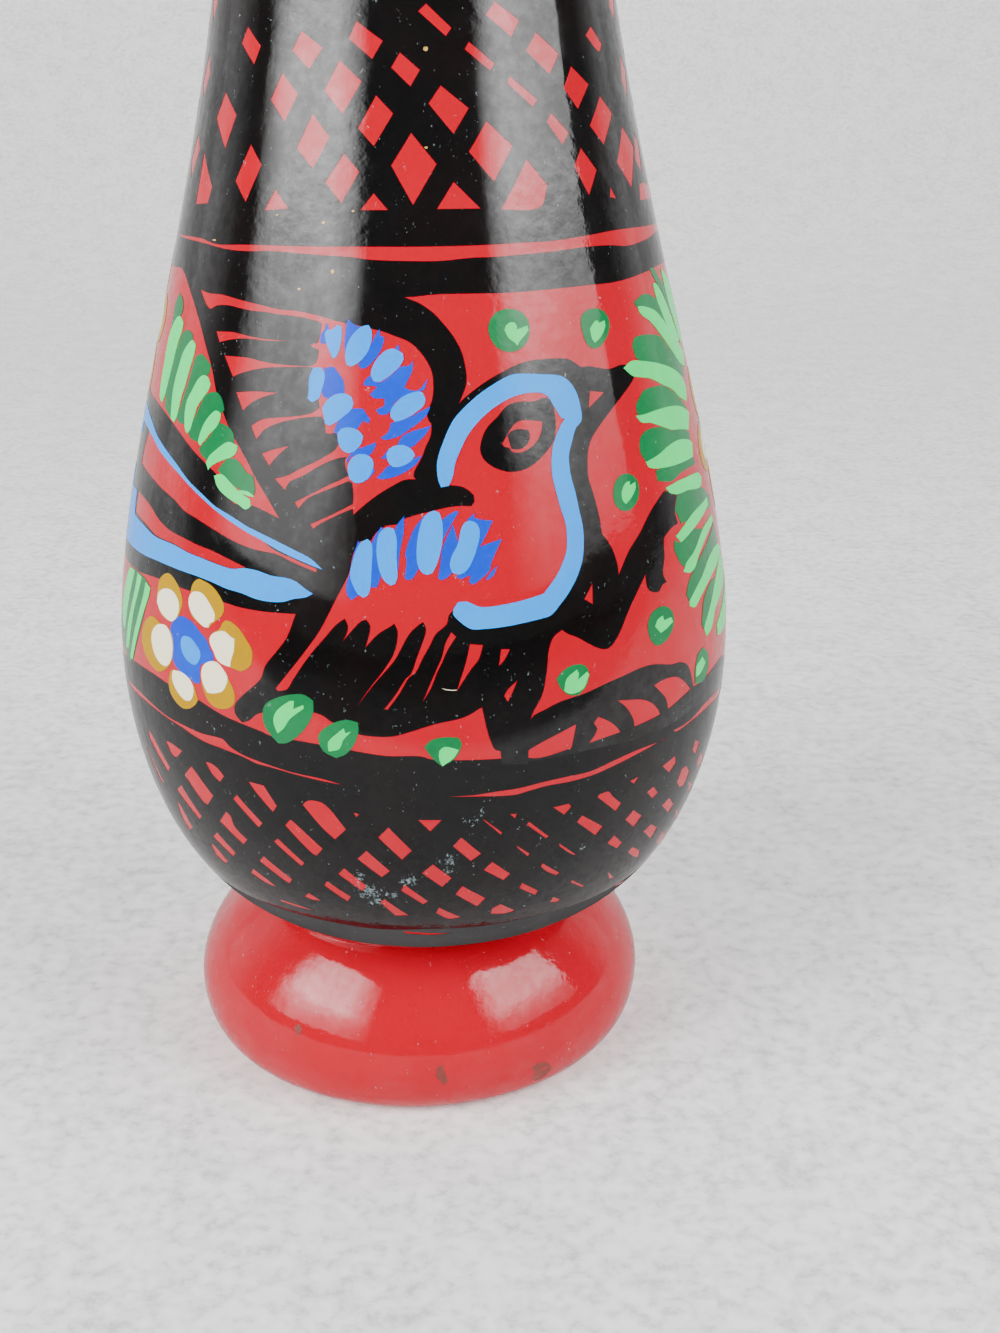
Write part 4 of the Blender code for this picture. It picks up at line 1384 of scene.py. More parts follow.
# %% Light blue strokes
tail_stripe = tail(
    (350, 0), (385, 100), (440, 190), (520, 300), (600, 410), (700, 510), (780, 585), (900, 660),
    (1000, 725), (1100, 775), (1220, 835), (1350, 900), (1440, 950), (1515, 1020), (1400, 975),
    (1300, 930), (1200, 880), (1100, 820), (1000, 765), (900, 700), (790, 620), (700, 540), (600, 440),
    (530, 360), (460, 280), (400, 200), (365, 130), (330, 60), (300, 0),
)
tail_stripe += by_height((-78, 123), (-84, 122), (-89, 123), (-89, 127), (-84, 127.5), (-78, 128))
tail_broad = tail(
    (225, 430), (250, 480), (240, 560), (235, 640), (300, 720), (370, 790), (500, 850), (600, 905),
    (700, 945), (800, 985), (900, 1015), (985, 1010), (1080, 1030), (1160, 1060), (1280, 1080),
    (1340, 1105), (1390, 1145), (1450, 1185), (1400, 1210), (1320, 1220), (1250, 1240), (1160, 1240),
    (1060, 1220), (960, 1180), (860, 1150), (760, 1105), (660, 1065), (560, 1030), (460, 990),
    (380, 955), (300, 920), (220, 860), (175, 760),
)
tail_broad += by_height((-80, 106), (-88, 108), (-88, 115), (-80, 117))
throat_line = head(
    (120, 900), (130, 830), (160, 740), (210, 620), (260, 540), (380, 420), (470, 350), (620, 260),
    (700, 240), (900, 245), (1000, 255), (1060, 290), (1115, 370), (1150, 500), (1150, 580), (1115, 620),
    (1080, 740), (1062, 830), (1075, 960), (1110, 1090),
)
throat_line += legs(
    (310, 240), (335, 350), (345, 480), (335, 620), (300, 740), (230, 880), (150, 990), (90, 1060),
)
throat_line += breast(
    (1470, 900), (1350, 930), (1200, 960), (1060, 975), (990, 975), (930, 940), (870, 880), (870, 850),
    (900, 800), (960, 795), (1050, 830), (1200, 815), (1350, 780), (1470, 740),
)
throat_line += legs((40, 880), (100, 800), (160, 700), (210, 560), (215, 470), (205, 350))
throat_line += head(
    (1000, 1180), (970, 1070), (945, 960), (942, 820), (960, 720), (1000, 620), (1035, 560), (1010, 555),
    (975, 500), (950, 460), (910, 400), (860, 375), (750, 380), (650, 410), (560, 460), (480, 520),
    (400, 600), (340, 680), (290, 780), (250, 880), (235, 970), (205, 1040), (150, 1050), (130, 1000),
)
light_blue_strokes = [tail_stripe, tail_broad, throat_line]
light_blue_strokes += each(
    wing,
    [(540, 345), (570, 350), (610, 315), (640, 325), (640, 400), (625, 480), (600, 540), (580, 548),
     (555, 500), (530, 430), (522, 370)],
    [(780, 325), (830, 315), (850, 350), (850, 420), (830, 490), (790, 550), (740, 590), (700, 605),
     (675, 590), (665, 530), (680, 450), (720, 380)],
    [(990, 480), (1030, 490), (1070, 515), (1075, 550), (1050, 600), (1000, 650), (950, 690), (900, 715),
     (865, 710), (845, 670), (855, 610), (890, 550), (940, 500)],
    [(1170, 780), (1210, 790), (1228, 830), (1215, 880), (1170, 920), (1110, 960), (1050, 985),
     (1010, 990), (985, 960), (985, 910), (1020, 860), (1080, 810)],
    [(440, 615), (500, 615), (522, 650), (520, 700), (500, 770), (480, 830), (430, 855), (402, 830),
     (410, 760), (412, 690)],
    [(600, 800), (660, 795), (710, 820), (722, 860), (705, 910), (660, 950), (610, 990), (550, 1018),
     (522, 1000), (515, 950), (505, 900), (540, 840)],
    [(640, 1040), (700, 1032), (760, 1055), (790, 1090), (780, 1140), (740, 1190), (690, 1212),
     (645, 1190), (615, 1130), (612, 1070)],
    [(740, 1225), (810, 1222), (855, 1255), (862, 1310), (840, 1370), (790, 1415), (730, 1420),
     (700, 1395), (682, 1330), (695, 1270)],
    [(1000, 1165), (1070, 1155), (1130, 1185), (1155, 1225), (1130, 1265), (1070, 1300), (1000, 1308),
     (965, 1270), (955, 1220), (970, 1185)],
)
light_blue_strokes += each(
    breast,
    [(310, 385), (340, 420), (335, 600), (330, 700), (310, 755), (285, 770), (245, 745), (215, 690),
     (195, 620), (210, 540), (240, 450), (270, 405)],
    [(440, 310), (480, 320), (500, 380), (500, 500), (505, 640), (490, 680), (460, 690), (420, 660),
     (390, 600), (370, 500), (370, 420), (385, 350)],
    [(740, 200), (780, 215), (800, 280), (800, 400), (785, 480), (760, 560), (730, 610), (700, 620),
     (660, 600), (635, 540), (632, 430), (650, 320), (680, 240)],
    [(980, 265), (1030, 290), (1045, 350), (1030, 430), (1000, 520), (960, 590), (910, 618), (865, 605),
     (848, 560), (860, 500), (900, 420), (920, 330), (940, 285)],
)
light_blue_strokes += each(
    flower,
    [(640, 665), (700, 680), (750, 740), (785, 800), (785, 860), (750, 915), (710, 910), (650, 850),
     (620, 770), (618, 700)],
)
LIGHT_BLUE_LIFT = 0.092
paint("light_blue_strokes", light_blue_strokes, LIGHT_BLUE_LIFT, light_blue,
      BOTH_SIDES)

# %% [markdown]
# The flower has six petals. Each is a fat yellow dab with a cream one inside. A second flower
# sits at each side of the vase, between the two pictures, and shows only a petal or two in front.

# %% Petals
yellow_petals = each(
    flower,
    [(490, 115), (530, 130), (580, 200), (615, 280), (630, 370), (615, 440), (590, 500), (540, 535),
     (480, 510), (430, 440), (410, 340), (415, 250), (430, 170)],
    [(770, 165), (810, 180), (880, 220), (940, 290), (980, 360), (995, 420), (980, 480), (940, 520),
     (900, 550), (860, 590), (830, 590), (770, 550), (710, 480), (690, 400), (700, 300), (720, 210)],
    [(340, 495), (390, 505), (440, 560), (500, 590), (540, 660), (550, 760), (540, 870), (510, 930),
     (450, 975), (400, 965), (330, 880), (290, 780), (275, 680), (290, 570)],
    [(1010, 530), (1060, 545), (1130, 610), (1190, 700), (1240, 800), (1230, 920), (1200, 950),
     (1140, 975), (1100, 960), (1020, 930), (960, 900), (900, 790), (880, 700), (900, 640), (960, 600),
     (980, 550)],
    [(540, 960), (600, 975), (660, 1020), (720, 1080), (745, 1150), (765, 1230), (740, 1270), (690, 1300),
     (640, 1300), (580, 1250), (530, 1170), (510, 1080), (520, 1000)],
    [(860, 890), (920, 890), (980, 950), (1030, 1040), (1080, 1150), (1085, 1250), (1050, 1290),
     (990, 1305), (920, 1290), (860, 1240), (820, 1150), (795, 1050), (800, 950)],
)
cream_petals = each(
    flower,
    [(470, 250), (530, 260), (575, 310), (600, 380), (595, 460), (565, 520), (540, 538), (490, 510),
     (440, 450), (410, 370), (420, 290)],
    [(740, 275), (800, 290), (850, 350), (890, 420), (915, 480), (905, 540), (865, 560), (860, 590),
     (825, 588), (770, 540), (710, 460), (685, 370), (700, 300)],
    [(430, 560), (490, 580), (530, 660), (545, 760), (535, 860), (500, 925), (450, 915), (400, 850),
     (370, 760), (360, 660), (385, 590)],
    [(930, 630), (1000, 625), (1050, 670), (1085, 690), (1080, 800), (1055, 880), (1050, 935), (1000, 920),
     (940, 880), (900, 790), (870, 720), (880, 660)],
    [(550, 965), (620, 980), (690, 1040), (725, 1110), (725, 1180), (700, 1230), (650, 1225), (600, 1170),
     (560, 1100), (540, 1030)],
    [(860, 890), (930, 895), (980, 950), (1025, 1030), (1015, 1090), (980, 1150), (900, 1168), (850, 1160),
     (815, 1090), (795, 1000), (810, 930)],
)
YELLOW_LIFT, CREAM_LIFT = 0.07, 0.1
paint("yellow_petals", yellow_petals, YELLOW_LIFT, yellow, BOTH_SIDES)
paint("cream_petals", cream_petals, CREAM_LIFT, cream, BOTH_SIDES)

# %% Side flowers
PETAL_REACH, PETAL_LENGTH, PETAL_WIDTH = 12.0, 5.4, 4.4
YELLOW_REACH, CREAM_REACH, CREAM_SHARE = 0.82, 0.7, 0.66
SIDE_RADIUS, DAB_POINTS = 50.0, 10    # the vase's radius there, and the points of a dab
HEART, HEART_LIGHT = (70, 0, 5.6, 4.0), (70, 0.6, 3.0, 2.0)     # turn, reach, length, width


def petal(angle, height, turn, reach, length, width):
    """An oval dab at a reach from a flower's centre, lying along its turn."""
    spoke = Vector((math.cos(math.radians(turn)), math.sin(math.radians(turn))))
    side = Vector((-spoke.y, spoke.x))
    dab = []
    for k in range(DAB_POINTS):
        t = math.tau * k / DAB_POINTS
        place = spoke * (reach + length * math.cos(t)) + side * width * math.sin(t)
        turned = place.x / DEGREE * BELLY_RADIUS / SIDE_RADIUS
        dab.append((angle + turned, up_the_wall(height) + place.y))
    return dab


SIDE_FLOWERS = {"left": (-91.0, 140.5, 12.0), "right": (89.0, 120.5, 8.0)}
side_yellow, side_cream, side_blue, side_light = [], [], [], []
for angle, height, turned in SIDE_FLOWERS.values():
    for k in range(6):
        turn = turned + 60 * k
        place = (angle, height, turn)
        side_yellow.append(petal(*place, PETAL_REACH * YELLOW_REACH, PETAL_LENGTH, PETAL_WIDTH))
        cream_size = (PETAL_LENGTH * CREAM_SHARE, PETAL_WIDTH * CREAM_SHARE)
        side_cream.append(petal(*place, PETAL_REACH * CREAM_REACH, *cream_size))
    side_blue.append(petal(angle, height, *HEART))
    side_light.append(petal(angle, height, *HEART_LIGHT))
SIDE_YELLOW_LIFT, SIDE_CREAM_LIFT = YELLOW_LIFT + 0.004, CREAM_LIFT + 0.003
SIDE_DEEP_LIFT, SIDE_LIGHT_LIFT = DEEP_BLUE_LIFT + 0.014, LIGHT_BLUE_LIFT + 0.003
paint("side_yellow_petals", side_yellow, SIDE_YELLOW_LIFT, yellow)
paint("side_cream_petals", side_cream, SIDE_CREAM_LIFT, cream)
paint("side_deep_blue", side_blue, SIDE_DEEP_LIFT, deep_blue)
paint("side_light_blue", side_light, SIDE_LIGHT_LIFT, light_blue)

# %% [markdown]
# The leaves are green strokes side by side like a feather, each dark stroke with a light one
# along its edge. Round dots fill the empty places of the panel.

# %% Dark green strokes
deep_green_strokes = each(
    leaf,
    [(540, 225), (560, 260), (565, 330), (545, 390), (520, 430), (480, 500), (460, 560), (490, 420),
     (510, 300)],
    [(600, 475), (630, 510), (630, 560), (580, 620), (540, 740), (505, 880), (490, 1000), (480, 1080),
     (440, 1000), (450, 880), (490, 720), (530, 580), (560, 500)],
    [(690, 640), (720, 670), (755, 720), (740, 780), (700, 800), (650, 850), (610, 920), (585, 1020),
     (575, 1120), (540, 1110), (520, 1080), (560, 950), (600, 830), (630, 720), (650, 660)],
    [(760, 900), (800, 905), (830, 950), (845, 1020), (820, 1050), (770, 1060), (720, 1120), (690, 1190),
     (660, 1240), (610, 1210), (600, 1170), (640, 1080), (680, 990), (720, 920)],
    [(800, 1105), (860, 1130), (905, 1180), (912, 1245), (860, 1270), (790, 1305), (730, 1370),
     (690, 1330), (672, 1285), (715, 1235), (760, 1180)],
)
deep_green_strokes += each(
    tail,
    [(800, 340), (860, 270), (920, 265), (965, 310), (1000, 360), (1040, 380), (1050, 430), (1055, 490),
     (1040, 520), (960, 480), (930, 460), (870, 420)],
)
deep_green_strokes += each(
    flower,
    [(170, 60), (210, 80), (250, 110), (300, 160), (350, 240), (340, 310), (310, 400), (280, 520),
     (250, 640), (220, 760), (195, 870), (160, 870), (130, 780), (100, 640), (95, 500), (110, 330),
     (140, 180)],
)
deep_green_strokes += each(
    spray,
    [(640, 60), (670, 60), (700, 110), (770, 230), (820, 340), (790, 380), (740, 250), (690, 160)],
    [(530, 300), (560, 270), (600, 240), (650, 250), (700, 290), (760, 400), (820, 530), (860, 610),
     (800, 570), (740, 450), (680, 380), (600, 345), (550, 335)],
    [(545, 700), (520, 620), (530, 560), (580, 535), (650, 530), (720, 545), (760, 600), (820, 680),
     (880, 760), (885, 820), (860, 840), (790, 780), (700, 740), (600, 725)],
    [(555, 1100), (545, 1040), (560, 1000), (600, 930), (680, 900), (740, 895), (800, 930), (860, 990),
     (910, 1060), (870, 1060), (800, 1050), (700, 1075), (600, 1110)],
    [(570, 1300), (590, 1240), (650, 1200), (720, 1190), (800, 1215), (880, 1200), (925, 1230),
     (930, 1285), (850, 1290), (780, 1330), (700, 1395), (620, 1440), (580, 1380)],
    [(685, 1500), (740, 1480), (850, 1450), (950, 1400), (968, 1450), (870, 1510), (800, 1575),
     (700, 1575)],
)
deep_green_strokes += each(
    legs,
    [(1080, 110), (1060, 230), (1110, 340), (1200, 300), (1340, 200), (1330, 120), (1260, 50), (1160, 80)],
    [(1060, 470), (1055, 540), (1080, 600), (1110, 660), (1160, 690), (1210, 560), (1280, 380),
     (1200, 390), (1110, 490)],
    [(1150, 900), (1170, 800), (1220, 680), (1290, 540), (1360, 330), (1395, 480), (1330, 600),
     (1270, 760), (1210, 880), (1175, 950)],
    [(1290, 930), (1270, 1130), (1300, 1190), (1350, 1000), (1380, 760), (1340, 800)],
)
dark_dots = [
    right_bands((505, 800), (515, 745), (550, 700), (600, 680), (650, 680), (700, 700), (735, 750),
                (742, 800), (735, 850), (700, 900), (640, 925), (580, 915), (530, 870)),
    spray((150, 440), (160, 390), (210, 350), (270, 345), (320, 370), (350, 420), (355, 480),
          (330, 560), (280, 620), (240, 630), (200, 605), (170, 540)),
    head((1380, 1090), (1395, 1010), (1440, 960), (1500, 955), (1550, 1000), (1565, 1080), (1545, 1160),
         (1500, 1210), (1440, 1215), (1395, 1170)),
    legs((850, 1150), (870, 1060), (930, 1000), (990, 990), (1040, 1030), (1055, 1110), (1030, 1200),
         (980, 1270), (920, 1300), (870, 1250)),
    low_right((670, 190), (710, 145), (760, 122), (810, 125), (830, 165), (815, 225), (780, 270),
              (730, 270), (690, 235)),
    low_right((1390, 35), (1415, 70), (1415, 140), (1390, 200), (1350, 215), (1350, 150), (1365, 70)),
    low_right((20, 525), (60, 490), (130, 478), (190, 480), (205, 510), (190, 555), (150, 600),
              (100, 615), (60, 580)),
    body((265, 760), (330, 715), (440, 690), (510, 695), (560, 730), (560, 800), (530, 870), (470, 940),
         (400, 985), (350, 985), (300, 930), (260, 860)),
    body((590, 950), (610, 910), (680, 865), (760, 845), (830, 860), (835, 910), (810, 990),
         (760, 1050), (700, 1075), (620, 1030)),
]
DEEP_GREEN_LIFT = 0.076
paint("deep_green_strokes", deep_green_strokes, DEEP_GREEN_LIFT, deep_green,
      BOTH_SIDES)
paint("deep_green_dots", dark_dots, DEEP_GREEN_LIFT, deep_green, BOTH_SIDES)

# %% Light green strokes
light_green_strokes = each(
    leaf,
    [(540, 380), (565, 420), (560, 470), (530, 560), (500, 680), (470, 800), (440, 920), (420, 970),
     (405, 930), (415, 820), (435, 700), (455, 580), (480, 480), (510, 410)],
    [(630, 545), (650, 580), (640, 640), (610, 740), (580, 850), (545, 960), (520, 1070), (500, 1105),
     (480, 1080), (485, 980), (500, 860), (530, 740), (565, 630), (600, 570)],
    [(700, 785), (735, 800), (750, 850), (735, 890), (700, 940), (660, 1000), (635, 1080), (610, 1160),
     (590, 1180), (575, 1140), (575, 1050), (590, 960), (630, 880), (665, 815)],
    [(790, 1025), (820, 1045), (815, 1090), (790, 1140), (750, 1180), (710, 1230), (680, 1265),
     (665, 1240), (680, 1180), (710, 1110), (750, 1055)],
)
light_green_strokes += each(
    tail,
    [(870, 150), (935, 175), (930, 210), (900, 250), (830, 275), (760, 310), (735, 340), (720, 290),
     (740, 250), (780, 210)],
    [(775, 380), (830, 370), (890, 430), (960, 500), (1020, 540), (1025, 590), (990, 610), (940, 575),
     (870, 530), (800, 460)],
    [(930, 480), (1000, 485), (1050, 520), (1035, 525), (960, 500)],
)
light_green_strokes += each(
    flower,
    [(170, 70), (215, 90), (180, 250), (150, 420), (130, 600), (115, 560), (110, 400), (130, 230)],
    [(240, 110), (275, 150), (250, 260), (210, 420), (180, 600), (160, 760), (140, 760), (150, 600),
     (180, 420), (215, 260)],
    [(310, 190), (350, 245), (335, 320), (290, 460), (250, 600), (215, 760), (195, 870), (175, 850),
     (190, 740), (220, 580), (260, 420), (290, 300)],
)
light_green_strokes += each(
    spray,
    [(665, 165), (690, 170), (740, 260), (790, 390), (850, 560), (840, 580), (780, 500), (730, 380),
     (690, 270)],
    [(720, 60), (745, 90), (800, 200), (840, 350), (870, 520), (862, 590), (820, 450), (770, 280),
     (735, 130)],
    [(555, 330), (600, 330), (680, 360), (740, 430), (810, 540), (880, 650), (890, 760), (850, 720),
     (790, 630), (720, 530), (650, 440), (575, 380)],
    [(455, 770), (510, 720), (600, 720), (700, 735), (800, 770), (870, 830), (900, 900), (905, 1005),
     (860, 980), (800, 920), (720, 880), (650, 845), (580, 835), (520, 825)],
    [(545, 1110), (600, 1100), (700, 1065), (800, 1040), (870, 1045), (920, 1080), (920, 1210),
     (860, 1205), (800, 1210), (740, 1190), (650, 1160), (580, 1155)],
    [(615, 1440), (700, 1390), (780, 1320), (850, 1280), (920, 1280), (945, 1300), (950, 1400),
     (900, 1430), (840, 1455), (740, 1480), (640, 1480)],
)
light_green_strokes += each(
    legs,
    [(990, 60), (1020, 100), (1080, 110), (1160, 80), (1260, 50), (1270, -20), (1240, -60), (1100, 0)],
    [(1310, 130), (1200, 260), (1070, 440), (1110, 490), (1200, 390), (1320, 190)],
    [(1345, 265), (1280, 380), (1210, 560), (1150, 650), (1130, 720), (1180, 725), (1220, 680),
     (1250, 580), (1310, 430), (1360, 310)],
    [(1390, 500), (1330, 600), (1270, 760), (1210, 880), (1175, 950), (1180, 990), (1220, 995),
     (1260, 920), (1330, 780), (1400, 620), (1420, 540)],
    [(1410, 600), (1380, 760), (1350, 930), (1300, 1120), (1290, 1170), (1310, 1225), (1350, 1150),
     (1380, 1000), (1440, 760), (1460, 620)],
    [(1450, 700), (1390, 1130), (1395, 1215), (1420, 1200), (1470, 1000), (1480, 750)],
)
light_dots = [
    right_bands((598, 800), (605, 775), (625, 758), (655, 757), (668, 775), (670, 797), (700, 785),
                (728, 775), (735, 800), (715, 830), (690, 855), (672, 890), (655, 870), (620, 845)),
    spray((215, 490), (250, 435), (270, 430), (278, 448), (320, 430), (325, 470), (290, 550),
          (250, 590), (230, 560)),
    head((1440, 1080), (1465, 1020), (1495, 1005), (1500, 1035), (1535, 1010), (1540, 1050),
         (1510, 1120), (1470, 1170), (1445, 1140)),
    legs((905, 1150), (925, 1095), (965, 1062), (975, 1100), (1030, 1075), (1045, 1110), (1000, 1160),
         (950, 1200)),
    low_right((708, 250), (720, 190), (770, 145), (780, 165), (775, 195), (820, 155), (830, 170),
              (800, 240), (740, 265)),
    low_right((1385, 80), (1400, 110), (1375, 165), (1355, 180), (1355, 130)),
    low_right((95, 590), (95, 545), (120, 525), (160, 530), (190, 540), (165, 580), (110, 620)),
    body((345, 925), (320, 850), (340, 790), (420, 730), (445, 730), (440, 780), (500, 755), (505, 775),
         (420, 840), (380, 900)),
    body((655, 1035), (650, 980), (700, 930), (745, 895), (755, 925), (790, 915), (740, 970),
         (720, 1020)),
]
LIGHT_GREEN_LIFT = 0.096
paint("light_green_strokes", light_green_strokes, LIGHT_GREEN_LIFT, light_green,
      BOTH_SIDES)
paint("light_green_dots", light_dots, LIGHT_GREEN_LIFT, light_green, BOTH_SIDES)

# %% [markdown]
# The small accidents of a handmade and used thing: ochre specks that dried into the varnish, a
# hair's scratch under the bird, and five small chips in the foot's enamel. Each is a tiny skin
# like the paint, because that puts it in one exact place at its real size.

# %% Specks, scratch and chips
SPECK_POINTS, RAGGED = 9, 0.35
SPECKS = [
    (425.6, 48.8, 2.4, 2.2), (332.5, 271.5, 2.0, 2.4), (299, 289, 1.6, 1.2), (323.5, 222.5, 1.8, 1.6),
    (426, 147.5, 1.6, 1.0), (214, 240, 1.6, 1.0), (277, 215, 1.2, 1.0), (353, 211, 1.3, 1.2),
]
SPECK_LIFT, SCRATCH_LIFT, CHIP_LIFT = 0.12, 0.05, 0.02


def speck(pixel_x, pixel_y, wide, tall):
    """A small ragged spot on the photo, with its half width and half height in pixels."""
    edge = []
    for k in range(SPECK_POINTS):
        t = math.tau * k / SPECK_POINTS
        spot = Vector((pixel_x * 0.3 + 2 * math.cos(t), pixel_y * 0.3, 2 * math.sin(t)))
        ragged = 1 + RAGGED * noise.noise(spot)
        edge.append((pixel_x + wide * ragged * math.cos(t), pixel_y + tall * ragged * math.sin(t)))
    return photo(*edge)


ochre_specks = [speck(*spot) for spot in SPECKS]
paint("ochre_specks", ochre_specks, SPECK_LIFT, stray_ochre)
scratch = photo(
    (441.5, 688.3), (446, 689.5), (452, 690.3), (457, 690.1), (457, 690.5), (452, 690.8), (446, 690.1),
)
paint("varnish_scratch", [scratch], SCRATCH_LIFT, cream)
foot_chips = each(
    by_height,
    [(3.6, 11.6), (4.9, 12.3), (5.6, 10.6), (6.3, 8.8), (5.2, 7.6), (4.4, 8.9), (3.4, 9.8)],
    [(27.6, 7.6), (29.6, 8.2), (32.4, 7.3), (34.0, 5.6), (32.8, 3.8), (30.5, 3.0), (28.6, 4.4),
     (28.9, 6.0)],
    [(-32.9, 16.0), (-31.7, 17.0), (-30.4, 16.2), (-31.1, 14.8)],
    [(118, 9.0), (120.5, 9.8), (122.6, 8.4), (121.0, 6.6), (118.8, 6.9)],
    [(-141, 6.4), (-138.5, 7.3), (-136.6, 5.6), (-138.8, 4.2)],
)
paint("foot_chips", foot_chips, CHIP_LIFT, chip_brown)

# %% [markdown]
# The vase stands on a pale paper sweep: a floor that curves up into a backdrop with no edge.
# It is one line of points, extruded sideways. It belongs to the stage, not to the vase. Glossy
# rays see the paper dimmer, and dark past a slanting line in front, as the real vase mirrors
# them: a painted reflection, since the camera sees the same paper pale. The paper also glows,
# more towards the back: painted light, which brightens the backdrop and lights the vase too.
# The camera's own rays see a glow far away, which hides where the floor ends.

# %% Floor and backdrop
SWEEP_FRONT, SWEEP_BACK, SWEEP_BEND, SWEEP_TOP, SWEEP_HALF_WIDTH = -1.6, 1.5, 0.6, 1.9, 2.2


def sweep_line():
    line = [(SWEEP_FRONT, 0.0), (0.0, 0.0), (SWEEP_BACK - SWEEP_BEND, 0.0)]
    for t in steps(24)[1:]:
        angle = t * math.pi / 2
        line.append((SWEEP_BACK - SWEEP_BEND * (1 - math.sin(angle)), SWEEP_BEND * (1 - math.cos(angle))))
    return line + [(SWEEP_BACK, SWEEP_TOP)]


PAPER_PALE, PAPER_FLECK, MIRRORED_DARK_COLOUR = (0.98, 0.98, 0.97), (0.54, 0.54, 0.545), (0.03, 0.03, 0.03)
MIRRORED_DARK_EDGE, MIRRORED_DARK_TURN, EDGE_BLUR = -0.24, 0.164, 0.02
DARK_BEYOND, DARK_PAPER = 1.0, 0.52   # how much of the dark the gloss shows there
PAPER_LIGHT_START, PAPER_LIGHT_END, PAPER_LIGHT = -0.6, 1.1, 0.6
GLOW_START, GLOW_END, GLOW = 0.7, 2.2, 0.95

paper = bpy.data.materials.new("paper")
paper.use_nodes = True
tree = paper.node_tree
shader = tree.nodes["Principled BSDF"]
spot = add(tree, "ShaderNodeTexCoord")
split = add(tree, "ShaderNodeSeparateXYZ")
link(tree, spot.outputs["Object"], split.inputs["Vector"])
slant = calculate(tree, "MULTIPLY", split.outputs["X"], MIRRORED_DARK_TURN)
past_edge = calculate(tree, "SUBTRACT", split.outputs["Y"], slant)
beyond = remap(tree, past_edge, MIRRORED_DARK_EDGE - EDGE_BLUR, MIRRORED_DARK_EDGE + EDGE_BLUR, DARK_BEYOND, DARK_PAPER)
ray_kind = add(tree, "ShaderNodeLightPath")
in_gloss, to_camera = ray_kind.outputs["Is Glossy Ray"], ray_kind.outputs["Is Camera Ray"]
fine_flecks = noise_at(tree, scale=300, detail=4, roughness=0.7)
flecks = weighted_sum(tree, (fine_flecks, 1.0), (noise_at(tree, scale=60), 0.3))
paper_tone = blend_colour(tree, remap(tree, flecks, low=0.56, high=0.84), PAPER_PALE, PAPER_FLECK)
# Painted reflection: for glossy rays only, the paper is dimmed near the vase and dark past the slanting
# line.
dark = calculate(tree, "MULTIPLY", beyond, in_gloss)
paper_tone = blend_colour(tree, dark, paper_tone, MIRRORED_DARK_COLOUR)
link(tree, paper_tone, shader.inputs["Base Color"])
shader.inputs["Roughness"].default_value = 0.9
shader.inputs["Emission Color"].default_value = (1, 1, 1, 1)
# Painted light: the paper itself glows, more towards the back, and this glow also lights the vase.
paper_glow = remap(tree, split.outputs["Y"], PAPER_LIGHT_START, PAPER_LIGHT_END, 0.0, PAPER_LIGHT)
far = add(tree, "ShaderNodeVectorMath", operation="LENGTH")
link(tree, spot.outputs["Object"], far.inputs[0])
far_glow = remap(tree, far.outputs["Value"], GLOW_START, GLOW_END, 0.0, GLOW)
far_glow = calculate(tree, "MULTIPLY", far_glow, to_camera)
paper_glow = calculate(tree, "MAXIMUM", paper_glow, far_glow)
link(tree, paper_glow, shader.inputs["Emission Strength"])
sweep = bmesh.new()
left_edge = [sweep.verts.new((-SWEEP_HALF_WIDTH, y, z)) for y, z in sweep_line()]
edges = [sweep.edges.new(pair) for pair in zip(left_edge, left_edge[1:])]
moved = bmesh.ops.extrude_edge_only(sweep, edges=edges)["geom"]
bmesh.ops.translate(sweep, verts=[v for v in moved if isinstance(v, bmesh.types.BMVert)],
                    vec=(2 * SWEEP_HALF_WIDTH, 0, 0))
bmesh.ops.recalc_face_normals(sweep, faces=sweep.faces)
mesh = bpy.data.meshes.new("paper_sweep")
sweep.to_mesh(mesh)
sweep.free()
mesh.shade_smooth()
mesh.materials.append(paper)
paper_sweep = bpy.data.objects.new("paper_sweep", mesh)
bpy.context.scene.collection.objects.link(paper_sweep)
print("sweep:", len(mesh.polygons), "faces")

# %% [markdown]
# Two tall soft boxes, one on each side in front, make the pale upright strips on the gloss.
# Their angles were read from those strips, because a mirror doubles every angle. The room is
# pale behind the vase and dim behind the camera, so the front stays deep between the strips.

# %% Soft boxes and room
BOX_DISTANCE, BOX_LOW, BOX_HIGH = 0.8, 0.14, 1.1
BOX_SIDES = {
    # title: (first and last azimuth, fade in and out as shares of the width, what the fade out
    # leaves, brightness up the box)
    "left_soft_box": (-85, -25, 0.28, 0.3, 0.0,
                      [(0, 3.0), (0.14, 4.4), (0.22, 6.2), (0.28, 9.5), (0.33, 13.5), (1, 9.0)]),
    "right_soft_box": (31, 84.5, 0.26, 0.6, 0.62,
                       [(0, 1.4), (0.13, 2.6), (0.2, 4.8), (0.27, 7.4), (0.33, 10.5), (1, 9.0)]),
}


def brightness_curve(tree, share, stops):
    """A node that turns a share from 0 to 1 into brightness, through the given stops."""
    highest = max(level for _, level in stops)
    ramp = add(tree, "ShaderNodeFloatCurve")
    curve = ramp.mapping.curves[0]
    for place, level in stops[1:-1]:
        curve.points.new(place, level / highest)
    curve.points[0].location = (0, stops[0][1] / highest)
    curve.points[-1].location = (1, stops[-1][1] / highest)
    for point in curve.points:
        point.handle_type = "VECTOR"
    ramp.mapping.update()
    link(tree, share, ramp.inputs["Value"])
    return calculate(tree, "MULTIPLY", ramp.outputs["Value"], highest)


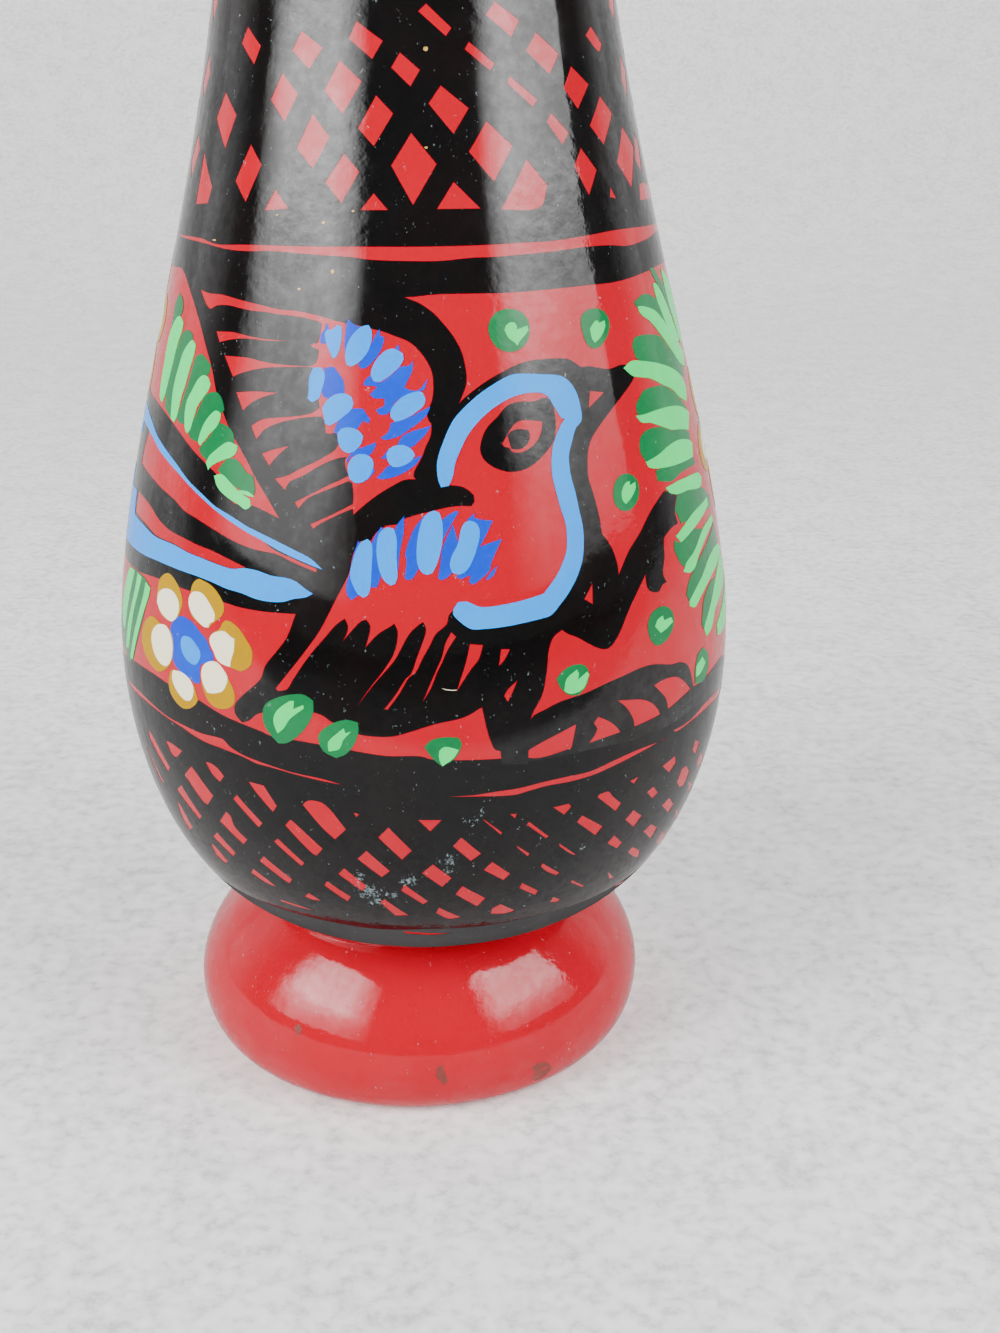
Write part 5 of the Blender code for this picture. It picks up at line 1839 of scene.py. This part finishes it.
for title, (first, last, fade_in, fade_out, leftover, stops) in BOX_SIDES.items():
    half_turn = math.radians(last - first) / 2
    light = bpy.data.lights.new(title, "AREA")
    light.shape = "RECTANGLE"
    light.size, light.size_y = 2 * BOX_DISTANCE * math.tan(half_turn), BOX_HIGH - BOX_LOW
    light.energy = math.pi * light.size * light.size_y
    light.use_nodes = True
    tree = light.node_tree
    spot = add(tree, "ShaderNodeNewGeometry")
    split = add(tree, "ShaderNodeSeparateXYZ")
    link(tree, spot.outputs["Parametric"], split.inputs["Vector"])
    rise = remap(tree, split.outputs["X"], 0, fade_in)
    fall = remap(tree, split.outputs["X"], 1, 1 - fade_out, leftover)
    glow = calculate(tree, "MULTIPLY", rise, fall)
    glow = calculate(tree, "MULTIPLY", glow, brightness_curve(tree, split.outputs["Y"], stops))
    link(tree, glow, tree.nodes["Emission"].inputs["Strength"])
    box = bpy.data.objects.new(title, light)
    bpy.context.scene.collection.objects.link(box)
    turn = math.radians((first + last) / 2)
    across, back = BOX_DISTANCE * math.sin(turn), -BOX_DISTANCE * math.cos(turn)
    box.location = (across, back, (BOX_LOW + BOX_HIGH) / 2)
    inwards = Vector((-box.location.x, -box.location.y, 0))
    box.rotation_euler = inwards.to_track_quat("-Z", "Y").to_euler()
    box.visible_camera = False

ROOM_PALE, ROOM_DIM, ROOM_TURN, ROOM_WALL = 1.05, 0.13, 0.05, 1.4
DIM_END, PALE_START = 0.13, 0.45
world = bpy.data.worlds.new("room")
world.use_nodes = True
tree = world.node_tree
direction = add(tree, "ShaderNodeTexCoord")
split = add(tree, "ShaderNodeSeparateXYZ")
link(tree, direction.outputs["Generated"], split.inputs["Vector"])
slant = calculate(tree, "MULTIPLY", split.outputs["X"], ROOM_TURN)
behind = calculate(tree, "SUBTRACT", split.outputs["Y"], slant)
in_reflection = remap(tree, behind, DIM_END, PALE_START, ROOM_DIM, ROOM_PALE)
seen = add(tree, "ShaderNodeLightPath").outputs["Is Camera Ray"]
wall = calculate(tree, "MAXIMUM", in_reflection, calculate(tree, "MULTIPLY", seen, ROOM_WALL))
link(tree, wall, tree.nodes["Background"].inputs["Strength"])
tree.nodes["Background"].inputs["Color"].default_value = (1, 1, 1, 1)
bpy.context.scene.world = world
print("lights:", list(BOX_SIDES))
